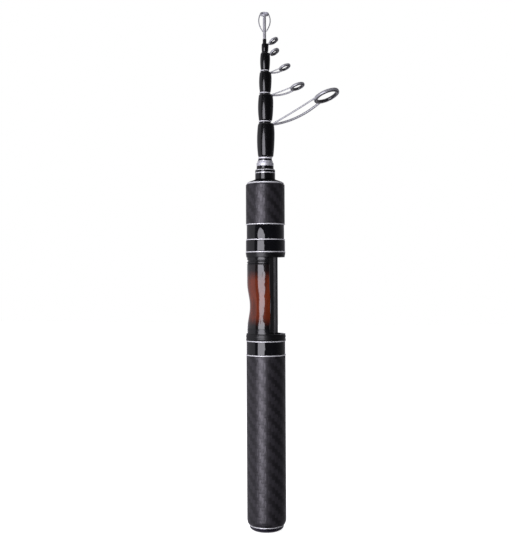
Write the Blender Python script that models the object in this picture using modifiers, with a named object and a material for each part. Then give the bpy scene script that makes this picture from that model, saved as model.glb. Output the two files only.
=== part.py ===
"""Telescopic lure rod in seven sections, closed, standing on its butt with the tip up.

The rod's axis is +Z and its butt face lies at the origin. The line guides and the deck
for the reel foot face +X. Sizes are real ones, given in millimetres and used in metres.
"""
import math

import bmesh
import bpy
from mathutils import Matrix, Vector

mm = 0.001

# Clearances
GLUE_GAP = 0.2 * mm
FACE_GAP = 0.3 * mm
SLIDE_GAP = 0.2 * mm
THREAD_GAP = 0.4 * mm

# Facets round a full turn
HANDLE_STEPS = 24
BLANK_STEPS = 16
WRAP_STEPS = 16
TIP_RING_STEPS = 16
TIP_TUBE_STEPS = 12
THREAD_ROWS = 4
DOME_POINTS = 5
ROUNDING_POINTS = 4
WAIST_POINTS = 9

# Chamfer where a thread begins
THREAD_CHAMFER = 0.5 * mm

# Butt cap, its pad, its captive ring and its bush
CAP_FACE_RADIUS = 6.5 * mm
CAP_RADIUS = 13.3 * mm
CAP_HEIGHT = 4.2 * mm
CAP_EDGE_HEIGHT = 0.4 * mm
CAP_NECK_RADIUS = 7.2 * mm
CAP_PLUG_LENGTH = 10.8 * mm
CAP_THREAD_LENGTH = 7.5 * mm
CAP_THREAD_PITCH = 3.0 * mm
CAP_THREAD_DEPTH = 0.75 * mm
CAP_PAD_RADIUS = 6.4 * mm
CAP_PAD_HEIGHT = 2.0 * mm
BUTT_RING_RADIUS = 13.6 * mm
BUTT_RING_HEIGHT = 0.9 * mm
BUSH_RADIUS = 10.5 * mm

# Rear grip
REAR_GRIP_LENGTH = 134.2 * mm
REAR_GRIP_RADIUS = 15.6 * mm
GRIP_SHELL_WALL = 1.4 * mm
GRIP_EDGE = 0.3 * mm
REAR_GRIP_ROUNDING = 2.4 * mm
FORE_GRIP_ROUNDING = 1.2 * mm

# Polished rings and gloss collars of the handle
RING_PROUD = 0.1 * mm
RING_HEIGHT = 0.8 * mm
REAR_COLLAR_LENGTH = 10.0 * mm
REAR_COLLAR_RADIUS = 15.5 * mm

# Reel seat
SEAT_END_RADIUS = 14.8 * mm
SEAT_WAIST_RADIUS = 12.7 * mm
SEAT_WAIST_HEIGHT = 26.3 * mm
SEAT_WAIST_REACH = 18.5 * mm
SEAT_TAIL_RADIUS = 11.4 * mm
DECK_X = 8.3 * mm
RAIL_HALF_WIDTH = 6.3 * mm
DECK_EDGE_X = 6.1 * mm
CHANNEL_HALF_WIDTH = 4.8 * mm
CHANNEL_DEPTH = 0.9 * mm
SEAT_END_GAP = 0.4 * mm
GROOVE_DEPTH = 0.5 * mm
GROOVE_WIDTH = 0.9 * mm
GROOVE_INSET = 1.5 * mm
INSERT_LOW_INSET = 8.6 * mm
INSERT_TOP_INSET = 10.4 * mm
INSERT_WALL = 1.0 * mm
INSERT_HALF_ANGLE = math.radians(120.5)

# Hoods of the reel seat
HOOD_WALL = 0.75 * mm
POCKET_ROOF_X = 13.0 * mm
POCKET_HALF_WIDTH = 7.8 * mm
FIXED_HOOD_HEIGHT = 5.2 * mm
FIXED_HOOD_FLOOR = 0.5 * mm
HOOD_MOUTH_OPENING = 60.8 * mm
HOOD_LIP_HEIGHT = 3.6 * mm
HOOD_COLLAR_WALL = 0.55 * mm
HOOD_COLLAR_LENGTH = 8.5 * mm
HOOD_FLANGE = 1.3 * mm
HOOD_NECK_WALL = 1.2 * mm
HOOD_NECK_HEIGHT = 4.1 * mm
HOOD_TRAVEL = 7.2 * mm

# Retaining clip between the hood and the lock nut
CLIP_HEIGHT = 0.9 * mm
CLIP_SEAT_DEPTH = 0.5 * mm
CLIP_REACH = 0.55 * mm
CLIP_OPENING = 6.0 * mm

# Lock nut, its rings and its thread
PIPE_RADIUS = 10.3 * mm
SEAT_THREAD_PITCH = 3.6 * mm
SEAT_THREAD_DEPTH = 0.8 * mm
NUT_RADIUS = 15.0 * mm
NUT_LENGTH = 11.0 * mm
NUT_LEDGE = 1.3 * mm
NUT_COUNTERBORE_RADIUS = 13.6 * mm
NUT_RING_RADIUS = 15.7 * mm

# Fore grip
FORE_GRIP_LENGTH = 31.4 * mm
FORE_GRIP_RADIUS = 15.5 * mm
FORE_GRIP_OPENING = 11.4 * mm

# Winding check with its cone, butt wrap and ferrule
CHECK_RADIUS = 14.8 * mm
CHECK_HEIGHT = 1.0 * mm
CONE_RADIUS = 13.8 * mm
CONE_TOP_RADIUS = 8.3 * mm
CONE_EDGE = 0.3 * mm
CONE_HEIGHT = 2.3 * mm
BUTT_WRAP_RADIUS = 8.0 * mm
BUTT_WRAP_LENGTH = 8.4 * mm
FERRULE_BAND_RADIUS = 6.8 * mm
FERRULE_BAND_LENGTH = 1.8 * mm
FERRULE_LENGTH = 4.7 * mm
FERRULE_TOP_RADIUS = 6.1 * mm

# Butt section blank
BUTT_BLANK_TOP_RADIUS = 5.6 * mm
BUTT_BLANK_RADIUS = 6.4 * mm
BUTT_BLANK_SHOULDER = 8.0 * mm
BUTT_MOUTH_RADIUS = 5.15 * mm
BUTT_MOUTH_LIP = 0.8 * mm
BORE_TAPER = 0.15 * mm

# Telescoping sections, the largest first. Each has its outer radius at the top and at
# the bottom, the radius of its mouth, its trim band, its guide wrap and its bare lip.
SECTIONS = (
    dict(name="section_6", top=4.75 * mm, bottom=4.95 * mm, mouth=4.35 * mm,
         trim_radius=5.6 * mm, trim_height=1.3 * mm, wrap_height=26.7 * mm,
         wrap_radius=6.8 * mm, wrap_end_radius=5.7 * mm, wrap_offset=0.4 * mm, lip=0.9 * mm),
    dict(name="section_5", top=4.0 * mm, bottom=4.15 * mm, mouth=3.65 * mm,
         trim_radius=5.1 * mm, trim_height=0.8 * mm, wrap_height=21.0 * mm,
         wrap_radius=5.9 * mm, wrap_end_radius=5.2 * mm, wrap_offset=0.4 * mm, lip=0.6 * mm),
    dict(name="section_4", top=3.3 * mm, bottom=3.45 * mm, mouth=2.95 * mm,
         trim_radius=4.5 * mm, trim_height=0.7 * mm, wrap_height=16.1 * mm,
         wrap_radius=4.8 * mm, wrap_end_radius=4.3 * mm, wrap_offset=0.3 * mm, lip=0.6 * mm),
    dict(name="section_3", top=2.6 * mm, bottom=2.75 * mm, mouth=2.25 * mm,
         trim_radius=3.7 * mm, trim_height=0.6 * mm, wrap_height=13.6 * mm,
         wrap_radius=3.8 * mm, wrap_end_radius=3.4 * mm, wrap_offset=0.25 * mm, lip=0.6 * mm),
    dict(name="section_2", top=1.9 * mm, bottom=2.05 * mm, mouth=1.55 * mm,
         trim_radius=0.0, trim_height=0.0, wrap_height=6.5 * mm,
         wrap_radius=2.6 * mm, wrap_end_radius=2.35 * mm, wrap_offset=0.25 * mm, lip=0.4 * mm),
)

# Line guides, one for each of these sections. The ring's centre stands out from the axis
# by reach and above the wrap's top by rise, and its outer side is lifted by tilt.
GUIDES = (
    dict(name="guide_6", outer=10.6 * mm, hole=8.0 * mm, band=2.8 * mm, reach=50.2 * mm, rise=19.5 * mm,
         tilt=20.0, leg=0.75 * mm, foot=(16.0 * mm, 2.6 * mm, 0.7 * mm), steps=24),
    dict(name="guide_5", outer=6.0 * mm, hole=4.0 * mm, band=2.2 * mm, reach=26.8 * mm, rise=5.0 * mm,
         tilt=19.0, leg=0.6 * mm, foot=(12.0 * mm, 2.2 * mm, 0.6 * mm), steps=20),
    dict(name="guide_4", outer=5.0 * mm, hole=3.0 * mm, band=2.0 * mm, reach=16.5 * mm, rise=2.9 * mm,
         tilt=22.0, leg=0.5 * mm, foot=(9.0 * mm, 1.8 * mm, 0.5 * mm), steps=18),
    dict(name="guide_3", outer=4.2 * mm, hole=2.4 * mm, band=1.8 * mm, reach=8.2 * mm, rise=0.4 * mm,
         tilt=39.0, leg=0.4 * mm, foot=(6.0 * mm, 1.5 * mm, 0.4 * mm), steps=16),
    dict(name="guide_2", outer=4.1 * mm, hole=2.4 * mm, band=1.7 * mm, reach=7.5 * mm, rise=1.9 * mm,
         tilt=38.0, leg=0.35 * mm, foot=(5.0 * mm, 1.2 * mm, 0.35 * mm), steps=16),
)
INSERT_BAND_SHARE = 0.55
INSERT_BAND_EXCESS = 1.15
LEG_ANGLE = math.radians(42.0)
LEG_BOW = 0.05
LEG_POINTS = 5

# Tip section, its wrap and the tip guide
TIP_BLANK_TOP_RADIUS = 0.75 * mm
TIP_BLANK_BOTTOM_RADIUS = 1.35 * mm
TIP_WRAP_RADIUS = 1.5 * mm
TIP_WRAP_HEIGHT = 3.0 * mm
TIP_TUBE_RADIUS = 1.25 * mm
TIP_TUBE_HEIGHT = 18.0 * mm
TIP_TUBE_STOP = 2.0 * mm
TIP_RING_OUTER = 4.0 * mm
TIP_RING_HOLE = 2.5 * mm
TIP_RING_BAND = 1.5 * mm
TIP_RING_REACH = 2.6 * mm
TIP_RING_RISE = 2.6 * mm
TIP_RING_TILT = 33.0
TIP_LEG_RADIUS = 0.45 * mm
TIP_LEG_SPREAD = 6.8 * mm
TIP_LEG_BULGE_DROP = 3.1 * mm
TIP_LEG_DROP = 12.0 * mm
TIP_TURN = math.radians(106.0)


# Scene and collections
for old in list(bpy.data.objects):
    bpy.data.objects.remove(old, do_unlink=True)

parts = bpy.data.collections.new("telescopic_lure_rod")
cutters = bpy.data.collections.new("cutters")
bpy.context.scene.collection.children.link(parts)
bpy.context.scene.collection.children.link(cutters)


def make_material(name, colour, roughness, metallic):
    """A plain Principled material."""
    made = bpy.data.materials.new(name)
    made.use_nodes = True
    shader = made.node_tree.nodes["Principled BSDF"]
    shader.inputs["Base Color"].default_value = (*colour, 1.0)
    shader.inputs["Roughness"].default_value = roughness
    shader.inputs["Metallic"].default_value = metallic
    made.diffuse_color = (*colour, 1.0)
    return made


CARBON = make_material("carbon_weave", (0.035, 0.034, 0.037), 0.45, 0.0)
CORK = make_material("grip_cork", (0.42, 0.27, 0.15), 0.9, 0.0)
GLOSS_BLACK = make_material("gloss_black", (0.01, 0.01, 0.012), 0.12, 0.0)
MATTE_BLACK = make_material("matte_black", (0.02, 0.02, 0.022), 0.4, 0.0)
POLISHED = make_material("polished_steel", (0.78, 0.78, 0.8), 0.15, 1.0)
BRUSHED = make_material("brushed_steel", (0.6, 0.6, 0.62), 0.3, 1.0)
SUNBURST = make_material("sunburst", (0.16, 0.035, 0.008), 0.15, 0.0)
CERAMIC = make_material("ring_ceramic", (0.03, 0.03, 0.035), 0.2, 0.0)
RUBBER = make_material("rubber", (0.02, 0.02, 0.02), 0.8, 0.0)


def add_part(name, mesh, material):
    """Link a mesh as a visible part with its own copy of a material."""
    part = bpy.data.objects.new(name, mesh)
    parts.objects.link(part)
    own = material.copy()
    own.name = name + "_finish"
    mesh.materials.clear()
    mesh.materials.append(own)
    return part


def add_cutter(name, mesh):
    """Link a mesh as a hidden cutter."""
    cutter = bpy.data.objects.new(name, mesh)
    cutters.objects.link(cutter)
    cutter.hide_render = True
    cutter.display_type = "WIRE"
    return cutter


def profile_mesh(name, points, closed):
    """A line of (radius, height) points in the XZ plane, for a Screw modifier."""
    mesh = bpy.data.meshes.new(name)
    count = len(points)
    links = [(index, index + 1) for index in range(count - 1)]
    if closed:
        links.append((count - 1, 0))
    mesh.from_pydata([(radius, 0.0, height) for radius, height in points], links, [])
    return mesh


def turn_profile(target, steps):
    """Spin an object's profile once round Z."""
    screw = target.modifiers.new("turn", "SCREW")
    screw.angle = 2.0 * math.pi
    screw.steps = steps
    screw.render_steps = steps
    screw.use_merge_vertices = True
    screw.merge_threshold = 0.00001
    screw.use_smooth_shade = True


def turned(name, points, material, steps=HANDLE_STEPS, closed=True):
    """A turned part. Its profile runs down the outer side and up the inner side."""
    part = add_part(name, profile_mesh(name, points, closed), material)
    turn_profile(part, steps)
    return part


def turned_cutter(name, points, steps=HANDLE_STEPS, closed=True):
    """A turned cutter."""
    cutter = add_cutter(name, profile_mesh(name, points, closed))
    turn_profile(cutter, steps)
    return cutter


def ring_profile(outer, inner, low, high):
    """The section of a plain ring."""
    return [(outer, high), (outer, low), (inner, low), (inner, high)]


def crowned_profile(outer, inner, low, high):
    """The section of a trim ring, whose outer side is crowned by a third of its height."""
    crown = (high - low) / 3.0
    return [(outer - crown, high), (outer, (low + high) / 2.0), (outer - crown, low),
            (inner, low), (inner, high)]


def box_cutter(name, low, high):
    """A box cutter between two corners."""
    low = Vector(low)
    high = Vector(high)
    shape = bmesh.new()
    bmesh.ops.create_cube(shape, size=1.0)
    size = high - low
    bmesh.ops.scale(shape, vec=size, verts=shape.verts)
    bmesh.ops.translate(shape, vec=(low + high) / 2.0, verts=shape.verts)
    mesh = bpy.data.meshes.new(name)
    shape.to_mesh(mesh)
    shape.free()
    return add_cutter(name, mesh)


def prism_cutter(name, outline, low, high):
    """A cutter with a flat outline, drawn upwards from low to high."""
    shape = bmesh.new()
    corners = [shape.verts.new((x, y, low)) for x, y in outline]
    face = shape.faces.new(corners)
    grown = bmesh.ops.extrude_face_region(shape, geom=[face])
    raised = [item for item in grown["geom"] if isinstance(item, bmesh.types.BMVert)]
    bmesh.ops.translate(shape, vec=(0.0, 0.0, high - low), verts=raised)
    bmesh.ops.recalc_face_normals(shape, faces=shape.faces)
    mesh = bpy.data.meshes.new(name)
    shape.to_mesh(mesh)
    shape.free()
    return add_cutter(name, mesh)


def combine(target, other, operation):
    """Cut, join or intersect a part with another mesh object."""
    step = target.modifiers.new(operation.lower() + "_" + other.name, "BOOLEAN")
    step.operation = operation
    step.solver = "EXACT"
    step.object = other


def tube_mesh(name, path, radius):
    """A closed round tube along a list of points, as a mesh with welded caps."""
    curve = bpy.data.curves.new(name, "CURVE")
    curve.dimensions = "3D"
    curve.twist_mode = "Z_UP"
    curve.bevel_depth = radius
    curve.bevel_resolution = 1
    curve.use_fill_caps = True
    spline = curve.splines.new("POLY")
    spline.points.add(len(path) - 1)
    for point, place in zip(spline.points, path):
        point.co = (*place, 1.0)
    holder = bpy.data.objects.new(name, curve)
    cutters.objects.link(holder)
    bpy.context.view_layer.update()
    graph = bpy.context.evaluated_depsgraph_get()
    mesh = bpy.data.meshes.new_from_object(holder.evaluated_get(graph))
    shape = bmesh.new()
    shape.from_mesh(mesh)
    bmesh.ops.transform(shape, matrix=holder.matrix_world, verts=shape.verts)
    bmesh.ops.remove_doubles(shape, verts=shape.verts, dist=0.000001)
    bmesh.ops.recalc_face_normals(shape, faces=shape.faces)
    shape.to_mesh(mesh)
    shape.free()
    bpy.data.objects.remove(holder, do_unlink=True)
    return mesh


def thread_rows(radius, low, high, pitch):
    """Profile points down a threaded stretch, THREAD_ROWS of them to each pitch."""
    count = math.ceil((high - low) / (pitch / THREAD_ROWS))
    return [(radius, high + (low - high) * index / count) for index in range(count + 1)]


def threaded(name, points, material, closed, thread):
    """A turned part with a right-hand thread raised or cut on one of its radii.

    thread holds that radius, the thread's depth, its pitch, its lowest and highest point,
    and the length over which it fades out at both ends.
    """
    radius, depth, pitch, low, high, fade = thread
    mesh = profile_mesh(name, points, closed)
    shape = bmesh.new()
    shape.from_mesh(mesh)
    bmesh.ops.spin(shape, geom=shape.verts[:] + shape.edges[:], cent=(0.0, 0.0, 0.0),
                   axis=(0.0, 0.0, 1.0), angle=2.0 * math.pi, steps=HANDLE_STEPS, use_merge=True)
    bmesh.ops.remove_doubles(shape, verts=shape.verts, dist=0.000001)
    bmesh.ops.recalc_face_normals(shape, faces=shape.faces)
    small = 0.00001
    for vert in shape.verts:
        place = vert.co
        if abs(place.xy.length - radius) > small or not low - small < place.z < high + small:
            continue
        phase = 2.0 * math.pi * place.z / pitch - math.atan2(place.y, place.x)
        height = depth * (0.5 + 0.5 * math.cos(phase))
        if fade > 0.0:
            height *= min(1.0, max(0.0, min(place.z - low, high - place.z) / fade))
        place.xy *= (radius + height) / radius
    shape.to_mesh(mesh)
    shape.free()
    return add_part(name, mesh, material)


# Heights of the butt end
ring_low = CAP_HEIGHT + GLUE_GAP
ring_high = ring_low + BUTT_RING_HEIGHT
grip_low = ring_high + GLUE_GAP
grip_high = grip_low + REAR_GRIP_LENGTH
plug_top = CAP_HEIGHT + CAP_PLUG_LENGTH
pad_low = plug_top + GLUE_GAP
pad_top = pad_low + CAP_PAD_HEIGHT
section_base = pad_top + FACE_GAP
bush_low = grip_low + GLUE_GAP
bush_top = plug_top
cap_thread_high = plug_top - CAP_THREAD_DEPTH
cap_thread_low = cap_thread_high - CAP_THREAD_LENGTH


def make_butt_end():
    """Cap with its threaded plug, pad, captive ring and the bush that takes the plug."""
    dome = []
    for index in range(DOME_POINTS):
        angle = 0.5 * math.pi * index / (DOME_POINTS - 1)
        radius = CAP_FACE_RADIUS + (CAP_RADIUS - CAP_FACE_RADIUS) * math.cos(angle)
        height = (CAP_HEIGHT - CAP_EDGE_HEIGHT) * (1.0 - math.sin(angle))
        dome.append((radius, height))
    profile = [(0.0, plug_top), (CAP_NECK_RADIUS - THREAD_CHAMFER, plug_top)]
    profile += thread_rows(CAP_NECK_RADIUS, cap_thread_low, cap_thread_high, CAP_THREAD_PITCH)
    profile += [(CAP_NECK_RADIUS, CAP_HEIGHT), (CAP_RADIUS, CAP_HEIGHT)] + dome + [(0.0, 0.0)]
    threaded("butt_cap", profile, MATTE_BLACK, False,
             (CAP_NECK_RADIUS, CAP_THREAD_DEPTH, CAP_THREAD_PITCH, cap_thread_low, cap_thread_high,
              CAP_THREAD_PITCH / 2.0))

    turned("cap_pad", [(0.0, pad_top), (CAP_PAD_RADIUS, pad_top), (CAP_PAD_RADIUS, pad_low),
                       (0.0, pad_low)], RUBBER, closed=False)

    ring_bore = CAP_NECK_RADIUS + 0.5 * CAP_THREAD_DEPTH
    turned("butt_trim_ring", crowned_profile(BUTT_RING_RADIUS, ring_bore, ring_low, ring_high), POLISHED)

    bore = CAP_NECK_RADIUS + THREAD_GAP
    inner = thread_rows(bore, bush_low, bush_top, CAP_THREAD_PITCH)
    inner.reverse()
    threaded("butt_bush", [(BUSH_RADIUS, bush_top), (BUSH_RADIUS, bush_low)] + inner, BRUSHED, True,
             (bore, CAP_THREAD_DEPTH, CAP_THREAD_PITCH, bush_low, bush_top, 0.0))


# Heights of the reel seat and of what turns above it
rear_ring_low = grip_high + GLUE_GAP
rear_collar_low = rear_ring_low + RING_HEIGHT + GLUE_GAP
rear_collar_high = rear_collar_low + REAR_COLLAR_LENGTH
upper_ring_low = rear_collar_high + GLUE_GAP
fixed_hood_low = upper_ring_low + RING_HEIGHT + GLUE_GAP
fixed_hood_high = fixed_hood_low + FIXED_HOOD_HEIGHT
seat_low = fixed_hood_low + FIXED_HOOD_FLOOR + FACE_GAP
hood_low = fixed_hood_high + HOOD_MOUTH_OPENING
hood_ring_low = hood_low + HOOD_LIP_HEIGHT + GLUE_GAP
hood_collar_low = hood_ring_low + RING_HEIGHT + GLUE_GAP
hood_top = hood_collar_low + HOOD_COLLAR_LENGTH
hood_flange_low = hood_top - HOOD_FLANGE
seat_high = hood_flange_low - HOOD_TRAVEL - SEAT_END_GAP
nut_ring_low = hood_top + FACE_GAP
nut_low = nut_ring_low + RING_HEIGHT + GLUE_GAP
nut_high = nut_low + NUT_LENGTH
ledge_top = nut_low + NUT_LEDGE
clip_low = ledge_top + FACE_GAP
clip_top = clip_low + CLIP_HEIGHT
neck_top = hood_top + HOOD_NECK_HEIGHT
nut_thread_low = neck_top + FACE_GAP
nut_upper_ring_low = nut_high + GLUE_GAP
fore_low = nut_upper_ring_low + RING_HEIGHT + GLUE_GAP
fore_high = fore_low + FORE_GRIP_LENGTH
pipe_top = nut_high
pipe_crest = PIPE_RADIUS + SEAT_THREAD_DEPTH
hood_bore = SEAT_END_RADIUS + FACE_GAP
hood_radius = hood_bore + HOOD_WALL
hood_collar_radius = hood_bore + HOOD_COLLAR_WALL
ring_radius = hood_radius + RING_PROUD
neck_bore = pipe_crest + THREAD_GAP
neck_radius = neck_bore + HOOD_NECK_WALL
seat_bore = BUTT_BLANK_RADIUS + GLUE_GAP
seat_thread_low = nut_thread_low - HOOD_TRAVEL
seat_thread_high = pipe_top - THREAD_CHAMFER
cutter_reach = 2.0 * hood_radius


def make_rear_grip():
    """Carbon shell with a rounded lower end over a cork core."""
    inner = REAR_GRIP_RADIUS - GRIP_SHELL_WALL
    opening = BUSH_RADIUS + GLUE_GAP
    rounding = []
    for index in range(ROUNDING_POINTS + 1):
        angle = 0.5 * math.pi * index / ROUNDING_POINTS
        rounding.append((REAR_GRIP_RADIUS - REAR_GRIP_ROUNDING * (1.0 - math.cos(angle)),
                         grip_low + REAR_GRIP_ROUNDING * (1.0 - math.sin(angle))))
    shell_floor = grip_low + REAR_GRIP_ROUNDING
    profile = [(REAR_GRIP_RADIUS - GRIP_EDGE, grip_high), (REAR_GRIP_RADIUS, grip_high - GRIP_EDGE)]
    profile += rounding
    profile += [(opening, grip_low), (opening, shell_floor), (inner, shell_floor), (inner, grip_high)]
    turned("rear_grip_shell", profile, CARBON)

    core_low = shell_floor + GLUE_GAP
    core_radius = inner - GLUE_GAP
    step = bush_top + GLUE_GAP
    core = [(core_radius, grip_high), (core_radius, core_low), (opening, core_low),
            (opening, step), (seat_bore, step), (seat_bore, grip_high)]
    turned("rear_grip_core", core, CORK)


def deck_outline(lift):
    """What is cut from a round section to leave the deck, raised by lift."""
    return [(DECK_X + lift, -RAIL_HALF_WIDTH), (DECK_X + lift, RAIL_HALF_WIDTH),
            (DECK_EDGE_X + lift, SEAT_END_RADIUS), (DECK_EDGE_X + lift, cutter_reach),
            (cutter_reach, cutter_reach), (cutter_reach, -cutter_reach),
            (DECK_EDGE_X + lift, -cutter_reach), (DECK_EDGE_X + lift, -SEAT_END_RADIUS)]


def seat_radius_at(height):
    """The seat's outer radius: full at both ends and drawn in at the waist."""
    waist = seat_low + SEAT_WAIST_HEIGHT
    share = min(1.0, abs(height - waist) / SEAT_WAIST_REACH)
    narrowing = 0.5 + 0.5 * math.cos(math.pi * share)
    return SEAT_END_RADIUS - (SEAT_END_RADIUS - SEAT_WAIST_RADIUS) * narrowing


insert_low = seat_low + INSERT_LOW_INSET
insert_high = seat_high - INSERT_TOP_INSET


def waist_line(low, high, inset=0.0):
    """Points down the seat's outer side from high to low, moved in by inset."""
    line = []
    for index in range(WAIST_POINTS + 1):
        height = high + (low - high) * index / WAIST_POINTS
        line.append((seat_radius_at(height) - inset, height))
    return line


def groove(low):
    """A V groove round the seat, from its upper edge to its lower edge."""
    middle = low + GROOVE_WIDTH / 2.0
    high = low + GROOVE_WIDTH
    return [(seat_radius_at(high), high), (seat_radius_at(middle) - GROOVE_DEPTH, middle),
            (seat_radius_at(low), low)]


def insert_wedge(name, half_angle, low, high):
    """A wedge towards +X that leaves half_angle of a ring on each side of -X."""
    opening = math.pi - half_angle
    reach = 2.0 * cutter_reach
    outline = [(0.0, 0.0), (reach * math.cos(opening), -reach * math.sin(opening)),
               (2.0 * reach, 0.0), (reach * math.cos(opening), reach * math.sin(opening))]
    return prism_cutter(name, outline, low, high)


def make_seat():
    """Seat body with tail, deck, channel, grooves, insert recess and threaded pipe."""
    top_groove = insert_high + GROOVE_INSET
    low_groove = insert_low - GROOVE_INSET - GROOVE_WIDTH
    profile = [(PIPE_RADIUS - THREAD_CHAMFER, pipe_top)]
    profile += thread_rows(PIPE_RADIUS, seat_thread_low, seat_thread_high, SEAT_THREAD_PITCH)
    profile += [(PIPE_RADIUS, seat_high), (SEAT_END_RADIUS, seat_high)]
    profile += groove(top_groove)
    profile += waist_line(insert_low, insert_high)
    profile += groove(low_groove)
    profile += [(SEAT_END_RADIUS, seat_low), (SEAT_TAIL_RADIUS, seat_low),
                (SEAT_TAIL_RADIUS, rear_ring_low), (seat_bore, rear_ring_low), (seat_bore, pipe_top)]
    body = threaded("seat_body", profile, MATTE_BLACK, True,
                    (PIPE_RADIUS, SEAT_THREAD_DEPTH, SEAT_THREAD_PITCH, seat_thread_low,
                     seat_thread_high, SEAT_THREAD_PITCH / 2.0))
    combine(body, prism_cutter("deck_cut", deck_outline(0.0), seat_low - mm, seat_high), "DIFFERENCE")
    combine(body, box_cutter("channel_cut", (DECK_X - CHANNEL_DEPTH, -CHANNEL_HALF_WIDTH, seat_low - mm),
                             (cutter_reach, CHANNEL_HALF_WIDTH, seat_high)), "DIFFERENCE")

    recess_line = waist_line(insert_low - GLUE_GAP, insert_high + GLUE_GAP, INSERT_WALL + GLUE_GAP)
    recess_line.reverse()
    recess = turned_cutter("insert_recess", [(cutter_reach, insert_high + GLUE_GAP),
                                             (cutter_reach, insert_low - GLUE_GAP)] + recess_line)
    edge_gap = GLUE_GAP / SEAT_WAIST_RADIUS
    wedge = insert_wedge("recess_wedge", INSERT_HALF_ANGLE + edge_gap, seat_low, seat_high)
    combine(recess, wedge, "DIFFERENCE")
    combine(body, recess, "DIFFERENCE")

    outer = waist_line(insert_low, insert_high)
    inner = waist_line(insert_low, insert_high, INSERT_WALL)
    inner.reverse()
    panel = turned("seat_insert", outer + inner, SUNBURST)
    combine(panel, insert_wedge("panel_wedge", INSERT_HALF_ANGLE, seat_low, seat_high), "DIFFERENCE")
    combine(panel, prism_cutter("panel_deck", deck_outline(0.0), seat_low, seat_high), "DIFFERENCE")


def hood_bore_cutter(name, low, high, pocket_low, pocket_high):
    """The inside of a hood: it clears the seat, its deck, the reel-foot pocket and the pipe."""
    bore = turned_cutter(name, [(0.0, high), (hood_bore, high), (hood_bore, low), (0.0, low)],
                         closed=False)
    combine(bore, prism_cutter(name + "_deck", deck_outline(FACE_GAP), low - mm, high + mm), "DIFFERENCE")
    pocket = box_cutter(name + "_pocket", (0.0, -POCKET_HALF_WIDTH, pocket_low),
                        (POCKET_ROOF_X, POCKET_HALF_WIDTH, pocket_high))
    combine(bore, pocket, "UNION")
    return bore


def make_rear_rings_and_fixed_hood():
    """Two polished rings, the gloss collar between them and the hood that stays put."""
    bore = SEAT_TAIL_RADIUS + GLUE_GAP
    turned("rear_ring_low", crowned_profile(ring_radius, bore, rear_ring_low,
                                            rear_ring_low + RING_HEIGHT), POLISHED)
    turned("rear_collar", ring_profile(REAR_COLLAR_RADIUS, bore, rear_collar_low,
                                       rear_collar_high), GLOSS_BLACK)
    turned("rear_ring_high", crowned_profile(ring_radius, bore, upper_ring_low,
                                             upper_ring_low + RING_HEIGHT), POLISHED)
    hood = turned("fixed_hood", ring_profile(hood_radius, bore, fixed_hood_low, fixed_hood_high),
                  MATTE_BLACK)
    floor = fixed_hood_low + FIXED_HOOD_FLOOR
    combine(hood, hood_bore_cutter("fixed_hood_bore", floor, fixed_hood_high + mm, floor,
                                   fixed_hood_high + 2.0 * mm), "DIFFERENCE")


def make_moving_hood():
    """Hood lip, polished ring and collar with its neck, bored as one, and the clip."""
    lip = turned("hood_lip", ring_profile(hood_radius, neck_bore, hood_low, hood_low + HOOD_LIP_HEIGHT),
                 MATTE_BLACK)
    ring = turned("hood_trim_ring", crowned_profile(ring_radius, neck_bore, hood_ring_low,
                                                    hood_ring_low + RING_HEIGHT), POLISHED)
    clip_seat = neck_radius - CLIP_SEAT_DEPTH
    profile = [(neck_radius, neck_top), (neck_radius, clip_top + GLUE_GAP),
               (clip_seat, clip_top + GLUE_GAP), (clip_seat, clip_low - GLUE_GAP),
               (neck_radius, clip_low - GLUE_GAP), (neck_radius, hood_top),
               (hood_collar_radius, hood_top), (hood_collar_radius, hood_collar_low),
               (neck_bore, hood_collar_low), (neck_bore, neck_top)]
    collar = turned("hood_collar", profile, GLOSS_BLACK)
    pieces = (("lip", lip, hood_low - mm, hood_ring_low - GLUE_GAP / 2.0),
              ("ring", ring, hood_ring_low - GLUE_GAP / 2.0, hood_collar_low - GLUE_GAP / 2.0),
              ("collar", collar, hood_collar_low - GLUE_GAP / 2.0, hood_flange_low))
    for label, piece, low, high in pieces:
        bore = hood_bore_cutter("hood_bore_" + label, low, high, low - mm, high)
        combine(piece, bore, "DIFFERENCE")

    clip = turned("retaining_clip", ring_profile(neck_radius + CLIP_REACH, clip_seat + GLUE_GAP,
                                                 clip_low, clip_top), BRUSHED)
    combine(clip, box_cutter("clip_opening", (-2.0 * neck_radius, -CLIP_OPENING / 2.0, clip_low - mm),
                             (0.0, CLIP_OPENING / 2.0, clip_top + mm)), "DIFFERENCE")


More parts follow.
